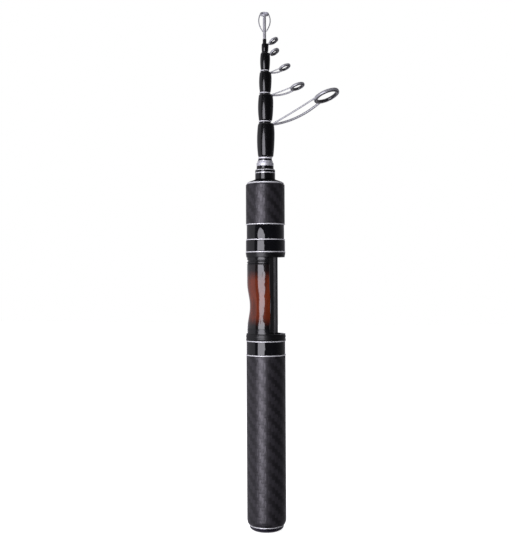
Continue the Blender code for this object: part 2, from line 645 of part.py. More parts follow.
def make_lock_nut():
    """Threaded nut with its two rings, captive on the hood's neck, and the fore grip."""
    ledge_bore = neck_radius + SLIDE_GAP
    turned("nut_ring_low", crowned_profile(NUT_RING_RADIUS, ledge_bore, nut_ring_low,
                                           nut_ring_low + RING_HEIGHT), POLISHED)
    bore = PIPE_RADIUS + THREAD_GAP
    profile = [(NUT_RADIUS, nut_high), (NUT_RADIUS, nut_low), (ledge_bore, nut_low),
               (ledge_bore, ledge_top), (NUT_COUNTERBORE_RADIUS, ledge_top),
               (NUT_COUNTERBORE_RADIUS, nut_thread_low)]
    inner = thread_rows(bore, nut_thread_low, nut_high, SEAT_THREAD_PITCH)
    inner.reverse()
    threaded("lock_nut", profile + inner, GLOSS_BLACK, True,
             (bore, SEAT_THREAD_DEPTH, SEAT_THREAD_PITCH, nut_thread_low, nut_high, 0.0))
    turned("nut_ring_high", crowned_profile(NUT_RING_RADIUS, neck_bore, nut_upper_ring_low,
                                            nut_upper_ring_low + RING_HEIGHT), POLISHED)

    inner = FORE_GRIP_RADIUS - GRIP_SHELL_WALL
    soft = FORE_GRIP_ROUNDING
    lid_low = fore_high - GRIP_SHELL_WALL
    shell = [(FORE_GRIP_OPENING, fore_high), (FORE_GRIP_RADIUS - soft, fore_high),
             (FORE_GRIP_RADIUS - 0.3 * soft, fore_high - 0.3 * soft), (FORE_GRIP_RADIUS, fore_high - soft),
             (FORE_GRIP_RADIUS, fore_low), (inner, fore_low), (inner, lid_low),
             (FORE_GRIP_OPENING, lid_low)]
    turned("fore_grip_shell", shell, CARBON)
    core_radius = inner - GLUE_GAP
    core_top = lid_low - GLUE_GAP
    pipe_room = pipe_top + HOOD_TRAVEL + FACE_GAP
    slide_bore = BUTT_BLANK_RADIUS + FACE_GAP
    core = [(core_radius, core_top), (core_radius, fore_low), (neck_bore, fore_low),
            (neck_bore, pipe_room), (slide_bore, pipe_room), (slide_bore, core_top)]
    turned("fore_grip_core", core, CORK)


check_low = fore_high + FACE_GAP
check_top = check_low + CHECK_HEIGHT
cone_low = check_top + GLUE_GAP
cone_top = cone_low + CONE_HEIGHT
wrap_low = cone_top + GLUE_GAP
wrap_top = wrap_low + BUTT_WRAP_LENGTH
band_low = wrap_top + GLUE_GAP
ferrule_low = band_low + FERRULE_BAND_LENGTH + GLUE_GAP
ferrule_top = ferrule_low + FERRULE_LENGTH
butt_mouth = ferrule_top + BUTT_MOUTH_LIP
butt_shoulder = ferrule_low


def make_butt_section():
    """Butt blank, with the check, cone, wrap, band and ferrule that are fixed round its top."""
    full_low = band_low
    full_radius = BUTT_BLANK_RADIUS
    profile = [(BUTT_BLANK_TOP_RADIUS, butt_mouth), (BUTT_BLANK_TOP_RADIUS, butt_shoulder),
               (full_radius, full_low - BUTT_BLANK_SHOULDER), (full_radius, section_base),
               (BUTT_MOUTH_RADIUS + BORE_TAPER, section_base), (BUTT_MOUTH_RADIUS, butt_mouth)]
    turned("butt_blank", profile, GLOSS_BLACK, BLANK_STEPS)
    bore = full_radius + GLUE_GAP
    turned("winding_check", crowned_profile(CHECK_RADIUS, bore, check_low, check_top), POLISHED)
    cone = [(CONE_TOP_RADIUS, cone_top), (CONE_RADIUS, cone_low + CONE_EDGE), (CONE_RADIUS, cone_low),
            (bore, cone_low), (bore, cone_top)]
    turned("check_cone", cone, GLOSS_BLACK)
    turned("butt_wrap", ring_profile(BUTT_WRAP_RADIUS, bore, wrap_low, wrap_top), GLOSS_BLACK)
    turned("ferrule_band", ring_profile(FERRULE_BAND_RADIUS, bore, band_low,
                                        band_low + FERRULE_BAND_LENGTH), GLOSS_BLACK)
    ferrule_bore = BUTT_BLANK_TOP_RADIUS + GLUE_GAP
    ferrule = [(FERRULE_TOP_RADIUS, ferrule_top), (FERRULE_BAND_RADIUS, ferrule_low),
               (ferrule_bore, ferrule_low), (ferrule_bore, ferrule_top)]
    turned("ferrule", ferrule, BRUSHED)


def guide_ring(name, outer, inner, band, steps, material):
    """A ring round Z at the origin, with softened edges."""
    soft = min(band / 4.0, (outer - inner) / 3.0)
    half = band / 2.0
    profile = [(outer - soft, half), (outer, 0.0), (outer - soft, -half),
               (inner + soft, -half), (inner, 0.0), (inner + soft, half)]
    return turned(name, profile, material, steps)


def tilt_matrix(tilt, reach, height, turn=0.0):
    """Lift a ring's outer side by tilt, move it to its place and turn it round the rod."""
    lift = Matrix.Rotation(math.radians(-tilt), 4, "Y")
    place = Matrix.Translation((reach, 0.0, height))
    return Matrix.Rotation(turn, 4, "Z") @ place @ lift


def ring_walls(outer, hole):
    """Where the steel frame ends and the ring insert begins."""
    wall = outer - hole
    frame_inner = outer - wall * (1.0 - INSERT_BAND_SHARE)
    return frame_inner, frame_inner - GLUE_GAP


def make_guide(guide, section, wrap_high):
    """A guide's steel frame, with foot, two legs and ring, and its ring insert."""
    frame_inner, insert_outer = ring_walls(guide["outer"], guide["hole"])
    place = tilt_matrix(guide["tilt"], guide["reach"], wrap_high + guide["rise"])
    frame = guide_ring(guide["name"] + "_frame", guide["outer"], frame_inner, guide["band"],
                       guide["steps"], POLISHED)
    insert = guide_ring(guide["name"] + "_ring", insert_outer, guide["hole"],
                        guide["band"] * INSERT_BAND_EXCESS, guide["steps"], CERAMIC)
    frame.matrix_world = place
    insert.matrix_world = place

    foot_length, foot_width, foot_thick = guide["foot"]
    foot_x = section["top"] + GLUE_GAP
    foot_top = wrap_high - guide["leg"]
    leg = guide["leg"]
    leg_x = foot_x + leg
    middle = (guide["outer"] + frame_inner) / 2.0
    for side, label in ((-1.0, "near"), (1.0, "far")):
        start = Vector((leg_x, side * (foot_width / 2.0 - leg / 2.0), foot_top))
        local = Vector((-middle * math.cos(LEG_ANGLE), side * middle * math.sin(LEG_ANGLE), 0.0))
        end = place @ local
        span = (end - start).length
        sag = Vector((0.0, side * LEG_BOW * span, -LEG_BOW * span))
        path = []
        for index in range(LEG_POINTS):
            share = index / (LEG_POINTS - 1)
            path.append(start.lerp(end, share) + sag * (4.0 * share * (1.0 - share)))
        leg_part = add_cutter(guide["name"] + "_leg_" + label,
                              tube_mesh(guide["name"] + "_leg_" + label, path, leg))
        combine(frame, leg_part, "UNION")
    foot = box_cutter(guide["name"] + "_foot", (foot_x, -foot_width / 2.0, wrap_high - foot_length),
                      (foot_x + foot_thick, foot_width / 2.0, foot_top + leg / 2.0))
    combine(frame, foot, "UNION")


def make_wrap(section, guide, low, high):
    """A guide wrap: a swelled sleeve set a little towards the guide, with the foot's pocket."""
    end_radius = section["wrap_end_radius"]
    rise = section["wrap_radius"] - end_radius
    length = high - low
    points = [(end_radius, high), (end_radius + 0.75 * rise, high - 0.1 * length),
              (section["wrap_radius"], high - 0.3 * length), (section["wrap_radius"], low + 0.45 * length),
              (end_radius + 0.45 * rise, low + 0.15 * length), (end_radius, low)]
    wrap = turned(section["name"] + "_wrap", [(0.0, high)] + points + [(0.0, low)], GLOSS_BLACK,
                  WRAP_STEPS, closed=False)
    wrap.location.x = section["wrap_offset"]
    bore = section["top"] + GLUE_GAP
    combine(wrap, turned_cutter(section["name"] + "_wrap_bore",
                                [(0.0, high + mm), (bore, high + mm), (bore, low - mm), (0.0, low - mm)],
                                WRAP_STEPS, closed=False), "DIFFERENCE")
    foot_length, foot_width, foot_thick = guide["foot"]
    half = foot_width / 2.0 + GLUE_GAP
    pocket = box_cutter(section["name"] + "_foot_pocket", (0.0, -half, high - foot_length - GLUE_GAP),
                        (bore + foot_thick + GLUE_GAP, half, high + mm))
    combine(wrap, pocket, "DIFFERENCE")
    leg_room = guide["leg"] + GLUE_GAP
    notch_half = foot_width / 2.0 + leg_room
    notch = box_cutter(section["name"] + "_leg_notch", (0.0, -notch_half, high - 2.0 * leg_room),
                       (2.0 * section["wrap_radius"], notch_half, high + mm))
    combine(wrap, notch, "DIFFERENCE")


def make_sections():
    """The five hollow sections with their trims, wraps and guides. Returns the last mouth."""
    mouth_below = butt_mouth
    for section, guide in zip(SECTIONS, GUIDES):
        low = mouth_below + FACE_GAP
        bore = section["top"] + GLUE_GAP
        if section["trim_height"] > 0.0:
            turned(section["name"] + "_trim", ring_profile(section["trim_radius"], bore, low,
                                                           low + section["trim_height"]),
                   POLISHED, WRAP_STEPS)
            low += section["trim_height"] + GLUE_GAP
        high = low + section["wrap_height"]
        mouth = high + section["lip"]
        blank = [(section["top"], mouth), (section["bottom"], section_base),
                 (section["mouth"] + BORE_TAPER, section_base), (section["mouth"], mouth)]
        turned(section["name"] + "_blank", blank, GLOSS_BLACK, BLANK_STEPS)
        make_wrap(section, guide, low, high)
        make_guide(guide, section, high)
        mouth_below = mouth
    return mouth_below


def make_tip(mouth_below):
    """The solid tip section with its wrap, the tip guide's tube, legs and ring."""
    wrap_start = mouth_below + FACE_GAP
    wrap_end = wrap_start + TIP_WRAP_HEIGHT
    tube_low = wrap_end + GLUE_GAP
    tube_top = tube_low + TIP_TUBE_HEIGHT
    blank_top = tube_top - TIP_TUBE_STOP
    blank = [(0.0, blank_top), (TIP_BLANK_TOP_RADIUS, blank_top),
             (TIP_BLANK_BOTTOM_RADIUS, section_base), (0.0, section_base)]
    turned("section_1_blank", blank, GLOSS_BLACK, BLANK_STEPS, closed=False)
    bore = TIP_BLANK_TOP_RADIUS + GLUE_GAP
    turned("section_1_wrap", ring_profile(TIP_WRAP_RADIUS, bore, wrap_start, wrap_end), GLOSS_BLACK,
           WRAP_STEPS)

    frame_inner, insert_outer = ring_walls(TIP_RING_OUTER, TIP_RING_HOLE)
    place = tilt_matrix(TIP_RING_TILT, TIP_RING_REACH, tube_top + TIP_RING_RISE, TIP_TURN)
    frame = guide_ring("tip_guide_frame", TIP_RING_OUTER, frame_inner, TIP_RING_BAND, TIP_RING_STEPS,
                       POLISHED)
    insert = guide_ring("tip_guide_ring", insert_outer, TIP_RING_HOLE,
                        TIP_RING_BAND * INSERT_BAND_EXCESS, TIP_RING_STEPS, CERAMIC)
    frame.matrix_world = place
    insert.matrix_world = place
    tube_profile = [(TIP_TUBE_RADIUS - 0.2 * mm, tube_top), (TIP_TUBE_RADIUS, tube_top - 0.3 * mm),
                    (TIP_TUBE_RADIUS, tube_low), (bore, tube_low), (bore, blank_top + FACE_GAP),
                    (0.0, blank_top + FACE_GAP)]
    tube = turned_cutter("tip_tube", [(0.0, tube_top)] + tube_profile, TIP_TUBE_STEPS, closed=False)
    combine(frame, tube, "UNION")
    middle = (TIP_RING_OUTER + frame_inner) / 2.0
    turn = Matrix.Rotation(TIP_TURN, 4, "Z")
    for side, label in ((-1.0, "near"), (1.0, "far")):
        root = TIP_TUBE_RADIUS + 0.4 * TIP_LEG_RADIUS
        start = Vector((0.0, side * root, tube_top - TIP_LEG_DROP))
        bulge = Vector((0.3 * TIP_RING_REACH, side * TIP_LEG_SPREAD, tube_top - TIP_LEG_BULGE_DROP))
        end = Vector((TIP_RING_REACH, side * middle, tube_top + TIP_RING_RISE))
        path = []
        for index in range(LEG_POINTS + 1):
            share = index / LEG_POINTS
            lower = start.lerp(bulge, share)
            upper = bulge.lerp(end, share)
            path.append(turn @ lower.lerp(upper, share))
        leg = add_cutter("tip_leg_" + label, tube_mesh("tip_leg_" + label, path, TIP_LEG_RADIUS))
        combine(frame, leg, "UNION")
    web_path = [turn @ Vector((0.2 * TIP_TUBE_RADIUS, 0.0, tube_top - 0.4 * TIP_TUBE_STOP)),
                turn @ (Vector((TIP_RING_REACH - middle * math.cos(math.radians(TIP_RING_TILT)), 0.0,
                                tube_top + TIP_RING_RISE
                                - middle * math.sin(math.radians(TIP_RING_TILT)))))]
    web = add_cutter("tip_web", tube_mesh("tip_web", web_path, TIP_LEG_RADIUS))
    combine(frame, web, "UNION")


make_butt_end()
make_rear_grip()
make_seat()
make_rear_rings_and_fixed_hood()
make_moving_hood()
make_lock_nut()
make_butt_section()
make_tip(make_sections())
bpy.context.view_layer.update()
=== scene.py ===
from math import atan2, ceil, cos, exp, pi, radians, sin, sqrt

import bmesh
import bpy
from mathutils import Matrix, Vector


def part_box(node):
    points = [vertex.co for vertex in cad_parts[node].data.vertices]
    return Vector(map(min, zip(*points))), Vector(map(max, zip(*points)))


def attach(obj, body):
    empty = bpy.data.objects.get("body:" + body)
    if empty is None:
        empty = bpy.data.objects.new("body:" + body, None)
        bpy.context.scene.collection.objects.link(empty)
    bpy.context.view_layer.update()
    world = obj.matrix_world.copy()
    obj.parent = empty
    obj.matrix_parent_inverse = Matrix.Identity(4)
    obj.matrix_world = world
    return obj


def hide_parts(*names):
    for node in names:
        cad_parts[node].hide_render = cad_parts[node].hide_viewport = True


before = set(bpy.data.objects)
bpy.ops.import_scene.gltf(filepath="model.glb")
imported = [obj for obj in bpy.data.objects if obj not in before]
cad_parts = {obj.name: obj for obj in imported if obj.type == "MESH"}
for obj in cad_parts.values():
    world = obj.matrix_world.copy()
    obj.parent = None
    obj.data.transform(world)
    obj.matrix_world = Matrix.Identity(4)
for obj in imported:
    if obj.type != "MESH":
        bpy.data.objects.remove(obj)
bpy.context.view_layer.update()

mm = 0.001


# The camera
# It looks level at the standing rod from a little right of square on, and its roll and its
# small step to the left put the rod where the photograph has it.
CAMERA_AZIMUTH = radians(16.0)
CAMERA_DISTANCE = 744.0 * mm
CAMERA_HEIGHT = 203.6 * mm
CAMERA_STEP = 6.5 * mm
CAMERA_ROLL = radians(-0.27)
CAMERA_LENS = 60.8
CAMERA_SENSOR = 36.0


def placed(name, data):
    """Put an object with its data in the scene."""
    made = bpy.data.objects.new(name, data)
    bpy.context.scene.collection.objects.link(made)
    return made


towards_camera = Vector((sin(CAMERA_AZIMUTH), -cos(CAMERA_AZIMUTH), 0.0))
screen_right = Vector((cos(CAMERA_AZIMUTH), sin(CAMERA_AZIMUTH), 0.0))
camera = placed("camera", bpy.data.cameras.new("camera"))
camera.data.lens = CAMERA_LENS
camera.data.sensor_width = CAMERA_SENSOR
eye = towards_camera * CAMERA_DISTANCE - screen_right * CAMERA_STEP + Vector((0.0, 0.0, CAMERA_HEIGHT))
stance = Matrix((screen_right, (0.0, 0.0, 1.0), towards_camera)).transposed().to_4x4()
camera.matrix_world = Matrix.Translation(eye) @ stance @ Matrix.Rotation(CAMERA_ROLL, 4, "Z")
bpy.context.scene.camera = camera


# Butt blank
# The rod's lowest and widest tube of rolled carbon tape, lacquered gloss black. It runs
# through the whole handle, and its mouth shows as a thin lip above the ferrule.
ROUND_STEPS = 96
BLANK_TAPE_PITCH = 1.3 * mm
BLANK_LIP_ROUNDING = 0.15 * mm
BLANK_NECK_DROP = 8.0 * mm
HARD_ANGLE = radians(35.0)
RIDGE_SHARE = 0.05
RUNS_FROM = radians(-92.0)
RUNS_FULL = radians(-84.0)


def spun(profile, soft=0.0, closed=True, steps=ROUND_STEPS):
    """Turn an outline of (radius, height) points once round the rod's axis and round its hard edges."""
    shape = bmesh.new()
    corners = [shape.verts.new((radius, 0.0, height)) for radius, height in profile]
    for near, far in zip(corners, corners[1:]):
        shape.edges.new((near, far))
    if closed:
        shape.edges.new((corners[-1], corners[0]))
    bmesh.ops.spin(shape, geom=shape.verts[:] + shape.edges[:], cent=(0.0, 0.0, 0.0),
                   axis=(0.0, 0.0, 1.0), angle=2.0 * pi, steps=steps, use_merge=True)
    bmesh.ops.remove_doubles(shape, verts=shape.verts, dist=0.001 * mm)
    bmesh.ops.recalc_face_normals(shape, faces=shape.faces)
    if soft > 0.0:
        round_hard_edges(shape, soft)
    return shape


def round_hard_edges(shape, soft):
    """Bevel every edge at which two faces meet at a hard angle."""
    hard = [edge for edge in shape.edges if edge.is_manifold and edge.calc_face_angle() > HARD_ANGLE]
    round_edges(shape, hard, soft, 3)


def round_edges(shape, edges, width, segments):
    """Bevel some edges of a shape to a round."""
    bmesh.ops.bevel(shape, geom=edges, offset=width, offset_type="OFFSET", segments=segments, profile=0.5,
                    affect="EDGES", material=-1, clamp_overlap=True)


def fitted(name, shape, material, slot, body, *nodes):
    """Make a smooth-shaded piece that rides on a body and stands for its CAD nodes."""
    mesh = bpy.data.meshes.new(name)
    shape.to_mesh(mesh)
    shape.free()
    mesh.shade_smooth()
    mesh.materials.append(material)
    piece = placed(name, mesh)
    flats = piece.modifiers.new("even flats", "WEIGHTED_NORMAL")
    flats.mode = "FACE_AREA"
    flats.weight = 100
    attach(piece, body)
    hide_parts(*nodes)
    return piece


def radii_at(node, height):
    """The radii that a turned CAD node has at a height, the smallest first."""
    near = 0.02 * mm
    found = {round(vert.co.xy.length, 6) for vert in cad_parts[node].data.vertices
             if abs(vert.co.z - height) < near}
    return sorted(found)


def measured(node):
    """A turned CAD node's two corners, and its bore at the lower end."""
    low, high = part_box(node)
    return low, high, radii_at(node, low.z)[0]


def new_finish(name, colour, roughness, metallic=0.0):
    """A material with its node tree and its shader."""
    made = bpy.data.materials.new(name)
    made.use_nodes = True
    shader = made.node_tree.nodes["Principled BSDF"]
    look = {"Base Color": (*colour, 1.0), "Roughness": roughness, "Metallic": metallic}
    fill(made.node_tree, shader, look)
    return made, made.node_tree, shader


def fill(tree, node, inputs):
    """Link a node's inputs to sockets, or give them plain values."""
    for key, value in inputs.items():
        if isinstance(value, bpy.types.NodeSocket):
            tree.links.new(value, node.inputs[key])
        else:
            node.inputs[key].default_value = value


def add_node(tree, kind, inputs={}, **settings):
    """Add a shader node with its settings, and fill its inputs."""
    made = tree.nodes.new("ShaderNode" + kind)
    for key, value in settings.items():
        setattr(made, key, value)
    fill(tree, made, inputs)
    return made


def reckon(tree, operation, *values):
    """One step of arithmetic on sockets or numbers."""
    return add_node(tree, "Math", dict(enumerate(values)), operation=operation).outputs[0]


def object_place(tree):
    """The x, y and z of the surface point in object coordinates."""
    place = add_node(tree, "TexCoord").outputs["Object"]
    return add_node(tree, "SeparateXYZ", {0: place}).outputs[:]


def wound_height(tree, pitch):
    """The height of a thread or tape wound round the rod's axis, from 0 to 1."""
    x, y, z = object_place(tree)
    angle = reckon(tree, "ARCTAN2", y, x)
    turn = reckon(tree, "SUBTRACT", reckon(tree, "MULTIPLY", z, 2.0 * pi / pitch), angle)
    return reckon(tree, "MULTIPLY_ADD", reckon(tree, "COSINE", turn), 0.5, 0.5)


def grain(tree, scale, detail=3.0, stretch=(1.0, 1.0, 1.0)):
    """Noise on object coordinates, drawn out along an axis by a small stretch there."""
    place = add_node(tree, "TexCoord").outputs["Object"]
    mapped = add_node(tree, "Mapping", {"Vector": place, "Scale": stretch})
    settings = {"Vector": mapped.outputs[0], "Scale": scale, "Detail": detail}
    return add_node(tree, "TexNoise", settings).outputs[0]


def between(tree, value, low, high, made_low, made_high):
    """Bring a value from one range to another, without passing its ends."""
    settings = {0: value, 1: low, 2: high, 3: made_low, 4: made_high}
    return add_node(tree, "MapRange", settings).outputs[0]


def raise_surface(tree, shader, height, depth, socket="Normal"):
    """Bump a shader's surface, or its coat, by a height of a real depth."""
    bump = add_node(tree, "Bump", {"Height": height, "Distance": depth, "Strength": 1.0})
    fill(tree, shader, {socket: bump.outputs[0]})


def vary_roughness(tree, shader, scale, detail, least, most, low=0.3, high=0.7):
    """Let the roughness drift between two values with noise between low and high."""
    drift = between(tree, grain(tree, scale, detail), low, high, least, most)
    fill(tree, shader, {"Roughness": drift})


def lacquer_runs(tree, scale):
    """Slow waves where lacquer has run: on the right and most of the front, none on the left."""
    x, y, z = object_place(tree)
    side = between(tree, reckon(tree, "ARCTAN2", y, x), RUNS_FROM, RUNS_FULL, 0.0, 1.0)
    waves = reckon(tree, "SUBTRACT", grain(tree, scale, 1.0), 0.5)
    return reckon(tree, "MULTIPLY", waves, side)


def gloss_lacquer(name, colour, wave_depth, wave_scale, tape_pitch=0.0):
    """Clear lacquer over a dark ground, with the slow waves that its surface keeps."""
    made, tree, shader = new_finish(name, colour, 0.06)
    waves = lacquer_runs(tree, wave_scale)
    if tape_pitch > 0.0:
        ridges = reckon(tree, "MULTIPLY", wound_height(tree, tape_pitch), RIDGE_SHARE)
        waves = reckon(tree, "ADD", waves, ridges)
    raise_surface(tree, shader, waves, wave_depth)
    vary_roughness(tree, shader, scale=260.0, detail=4.0, least=0.04, most=0.11, low=0.35, high=0.75)
    return made


BLANK_LACQUER = gloss_lacquer("blank_lacquer", (0.004, 0.004, 0.005), 0.03 * mm, 200.0, BLANK_TAPE_PITCH)

low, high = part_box("butt_blank")
mouth, lip = radii_at("butt_blank", high.z)
bore, foot = radii_at("butt_blank", low.z)
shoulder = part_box("ferrule")[0].z
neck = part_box("ferrule_band")[0].z - BLANK_NECK_DROP
outline = [(lip, high.z), (lip, shoulder), (foot, neck), (foot, low.z), (bore, low.z), (mouth, high.z)]
fitted("butt_tube", spun(outline, BLANK_LIP_ROUNDING), BLANK_LACQUER, "gloss_black", "handle", "butt_blank")


# Rear and fore grip
# Each grip is a shell of matte carbon twill over a cork core. The rear one is rounded in at
# the butt; the fore one is glued to the lock nut and has a flat end with a soft edge.
TOW_WIDTH = 2.7 * mm
TWILL_STEP = 4.0
TWILL_OVER = 1.5
FIBRES_ACROSS = 14.0
FIBRES_ALONG = 0.7
CROWN_WEIGHT = 0.7
FIBRE_WEIGHT = 0.3
WEAVE_DEPTH = 0.07 * mm
ROUND_TOW_ROUGHNESS = 0.42
UPRIGHT_TOW_ROUGHNESS = 0.36
FIBRE_TONES = ((0.3, (0.007, 0.0066, 0.0078)), (0.75, (0.026, 0.0245, 0.028)))
# Round bundles are painted darker and upright ones lighter: painted shade and painted sheen for how the
# light catches each direction of the weave
ROUND_TOW_PAINTED_SHADE = (0.42, 0.42, 0.43, 1.0)
UPRIGHT_TOW_PAINTED_SHEEN = (1.2, 1.18, 1.2, 1.0)
GRIP_SOFT_EDGE = 0.25 * mm
REAR_GRIP_ROUNDING = 1.7 * mm
REAR_GRIP_DROP = 4.6 * mm
QUARTER_POINTS = 13
FORE_GRIP_ROUNDING = 0.8 * mm
SQUARE_EDGE = 1.0


def mixed_value(tree, share, first, second):
    """Mix two numbers by a share from 0 to 1."""
    return add_node(tree, "Mix", {0: share, 2: first, 3: second}).outputs[0]


def mixed_colour(tree, share, first, second, **settings):
    """Mix two colours by a share from 0 to 1."""
    colours = {0: share, 6: first, 7: second}
    return add_node(tree, "Mix", colours, data_type="RGBA", **settings).outputs[2]


def colour_ramp(tree, value, stops):
    """Give each value the colour that stops of (value, colour) say."""
    ramp = add_node(tree, "ValToRGB", {0: value})
    marks = ramp.color_ramp.elements
    while len(marks) < len(stops):
        marks.new(1.0)
    for mark, (position, colour) in zip(marks, stops):
        mark.position = position
        mark.color = (*colour, 1.0)
    return ramp.outputs[0]


def quarter_turn():
    """Angles from zero to a right angle."""
    return [0.5 * pi * index / (QUARTER_POINTS - 1) for index in range(QUARTER_POINTS)]


def carbon_twill(name, radius):
    """Matte 2 by 2 carbon twill: bundles up the grip cross bundles round it in diagonal steps, with painted
    sheen on the upright ones and painted shade on the round ones.
    """
    made, tree, shader = new_finish(name, FIBRE_TONES[0][1], ROUND_TOW_ROUGHNESS)
    x, y, z = object_place(tree)
    tows_round = TWILL_STEP * round(2.0 * pi * radius / TOW_WIDTH / TWILL_STEP)
    across = reckon(tree, "MULTIPLY", reckon(tree, "ARCTAN2", y, x), tows_round / (2.0 * pi))
    along = reckon(tree, "DIVIDE", z, TOW_WIDTH)
    step = reckon(tree, "ADD", reckon(tree, "FLOOR", across), reckon(tree, "FLOOR", along))
    upright = reckon(tree, "LESS_THAN", reckon(tree, "FLOORED_MODULO", step, TWILL_STEP), TWILL_OVER)

    heights = []
    lines = []
    for here, there in ((across, along), (along, across)):
        middle = reckon(tree, "SUBTRACT", reckon(tree, "FRACT", here), 0.5)
        crown = reckon(tree, "MULTIPLY", reckon(tree, "MULTIPLY", middle, middle), -4.0)
        heights.append(reckon(tree, "ADD", crown, 1.0))
        finer = {0: reckon(tree, "MULTIPLY", here, FIBRES_ACROSS),
                 1: reckon(tree, "MULTIPLY", there, FIBRES_ALONG)}
        strand = add_node(tree, "CombineXYZ", finer)
        settings = {"Vector": strand.outputs[0], "Scale": 1.0, "Detail": 2.0}
        lines.append(add_node(tree, "TexNoise", settings).outputs[0])
    crowns = mixed_value(tree, upright, heights[1], heights[0])
    fibres = mixed_value(tree, upright, lines[1], lines[0])
    height = reckon(tree, "ADD", reckon(tree, "MULTIPLY", crowns, CROWN_WEIGHT),
                    reckon(tree, "MULTIPLY", fibres, FIBRE_WEIGHT))
    raise_surface(tree, shader, height, WEAVE_DEPTH)

    # Painted sheen and shade: upright bundles lighter, round ones darker.
    light = mixed_colour(tree, upright, ROUND_TOW_PAINTED_SHADE, UPRIGHT_TOW_PAINTED_SHEEN)
    tone = mixed_colour(tree, 1.0, colour_ramp(tree, fibres, FIBRE_TONES), light, blend_type="MULTIPLY")
    gloss = mixed_value(tree, upright, ROUND_TOW_ROUGHNESS, UPRIGHT_TOW_ROUGHNESS)
    scuffs = between(tree, grain(tree, scale=90.0, detail=5.0), 0.4, 0.7, -0.03, 0.05)
    fill(tree, shader, {"Base Color": tone, "Roughness": reckon(tree, "ADD", gloss, scuffs),
                        "Specular Tint": (0.97, 0.93, 0.99, 1.0)})
    return made


low, high, opening = measured("rear_grip_shell")
radius = high.x
inner = radii_at("rear_grip_shell", high.z)[0]
outline = [(radius, high.z)]
for angle in quarter_turn():
    outline.append((radius - REAR_GRIP_ROUNDING * (1.0 - cos(angle)),
                    low.z + REAR_GRIP_DROP * (1.0 - sin(angle))))
floor_height = low.z + REAR_GRIP_ROUNDING
outline += [(opening, low.z), (opening, floor_height), (inner, floor_height), (inner, high.z)]
finish = carbon_twill("rear_carbon_twill", radius)
fitted("rear_grip", spun(outline, GRIP_SOFT_EDGE), finish, "carbon_weave", "handle", "rear_grip_shell")

low, high, inner = measured("fore_grip_shell")
radius = high.x
opening = radii_at("fore_grip_shell", high.z)[0]
lid = high.z - (radius - inner)
outline = [(opening, high.z), (radius, high.z), (radius, low.z), (inner, low.z), (inner, lid),
           (opening, lid)]
shape = spun(outline)
nearly_outside = 0.99 * radius
rim = [edge for edge in shape.edges
       if all(vert.co.xy.length > nearly_outside and vert.co.z > lid for vert in edge.verts)
       and edge.calc_face_angle() > SQUARE_EDGE]
round_edges(shape, rim, FORE_GRIP_ROUNDING, 4)
finish = carbon_twill("fore_carbon_twill", radius)
fitted("fore_grip", shape, finish, "carbon_weave", "nut", "fore_grip_shell")


# Grip cores, bush, pad and clip
# These lie inside the handle and keep their CAD shape: bare cork sleeves, a turned bush for
# the butt cap's thread, a rubber pad, and the spring clip that holds nut and hood together.
CORK_PIT = (0.3, 0.17, 0.08, 1.0)
CORK_GRAIN = (0.52, 0.35, 0.2, 1.0)
CORK_PIT_DEPTH = 0.15 * mm
TURNING_LINES = (60.0, 60.0, 9000.0)


def cork_finish():
    """Bare cork: pale grains with darker pits."""
    made, tree, shader = new_finish("bare_cork", CORK_GRAIN[:3], 0.85)
    place = add_node(tree, "TexCoord").outputs["Object"]
    cells = add_node(tree, "TexVoronoi", {"Vector": place, "Scale": 420.0})
    pits = cells.outputs["Distance"]
    fill(tree, shader, {"Base Color": mixed_colour(tree, pits, CORK_PIT, CORK_GRAIN)})
    raise_surface(tree, shader, pits, CORK_PIT_DEPTH)
    return made


def grained(name, colour, roughness, metallic, shine, bumps, depth, wear):
    """A plain material: bumps and wear hold what grain and vary_roughness take."""
    made, tree, shader = new_finish(name, colour, roughness, metallic)
    fill(tree, shader, {"Specular IOR Level": shine})
    raise_surface(tree, shader, grain(tree, *bumps), depth)
    vary_roughness(tree, shader, *wear)
    return made


def turned_metal(name, colour, roughness, metallic, line_depth):
    """Metal with the fine lines that turning leaves round it."""
    return grained(name, colour, roughness, metallic, 0.5, (1.0, 2.0, TURNING_LINES), line_depth,
                   (500.0, 4.0, 0.9 * roughness, 1.15 * roughness))


BARE_CORK = cork_finish()
PAD_RUBBER = grained("pad_rubber", (0.02, 0.02, 0.021), 0.8, 0.0, 0.5, (2500.0, 3.0), 0.03 * mm,
                     (500.0, 4.0, 0.8, 0.8))
TURNED_STEEL = turned_metal("turned_steel", (0.66, 0.66, 0.7), 0.5, 0.75, 0.006 * mm)
HIDDEN = {"rear_grip_core": BARE_CORK, "fore_grip_core": BARE_CORK, "butt_bush": TURNED_STEEL,
          "retaining_clip": TURNED_STEEL, "cap_pad": PAD_RUBBER}
for node, material in HIDDEN.items():
    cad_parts[node].data.materials.clear()
    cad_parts[node].data.materials.append(material)


# Polished rings
# Thin crowned rings of polished steel part the grips, collars and hoods. Each is turned and
# pushed over the seat or the lock nut; the lowest is captive on the butt cap's neck.
POLISHED_STEEL = turned_metal("polished_steel", (0.84, 0.84, 0.86), 0.4, 0.5, 0.001 * mm)
BRIGHT_TRIM = turned_metal("bright_trim", (0.8, 0.8, 0.82), 0.5, 0.45, 0.0003 * mm)
BUTT_RING_PROUD = 0.35 * mm
BUTT_RING_THINNER = 0.12 * mm
RING_CROWN = 0.7
RING_POINTS = 9
RING_BODIES = {"butt_trim_ring": "cap_ring", "rear_ring_low": "handle", "rear_ring_high": "handle",
               "nut_ring_low": "nut", "nut_ring_high": "nut"}


def crowned_ring(radius, inner, low, high):
    """The section of a ring whose outer side is an arc."""
    half = (high - low) / 2.0
    section = [(inner, low), (inner, high)]
    for index in range(RING_POINTS):
        angle = 0.5 * pi * (1.0 - 2.0 * index / (RING_POINTS - 1))
        crown = radius - RING_CROWN * half * (1.0 - cos(angle))
        section.append((crown, low + half + half * sin(angle)))
    return section


def ring_section(node, proud=0.0, thinner=0.0):
    """The crowned section that a CAD ring's sizes give."""
    low, high, bore = measured(node)
    return crowned_ring(high.x + proud, bore, low.z + thinner, high.z - thinner)


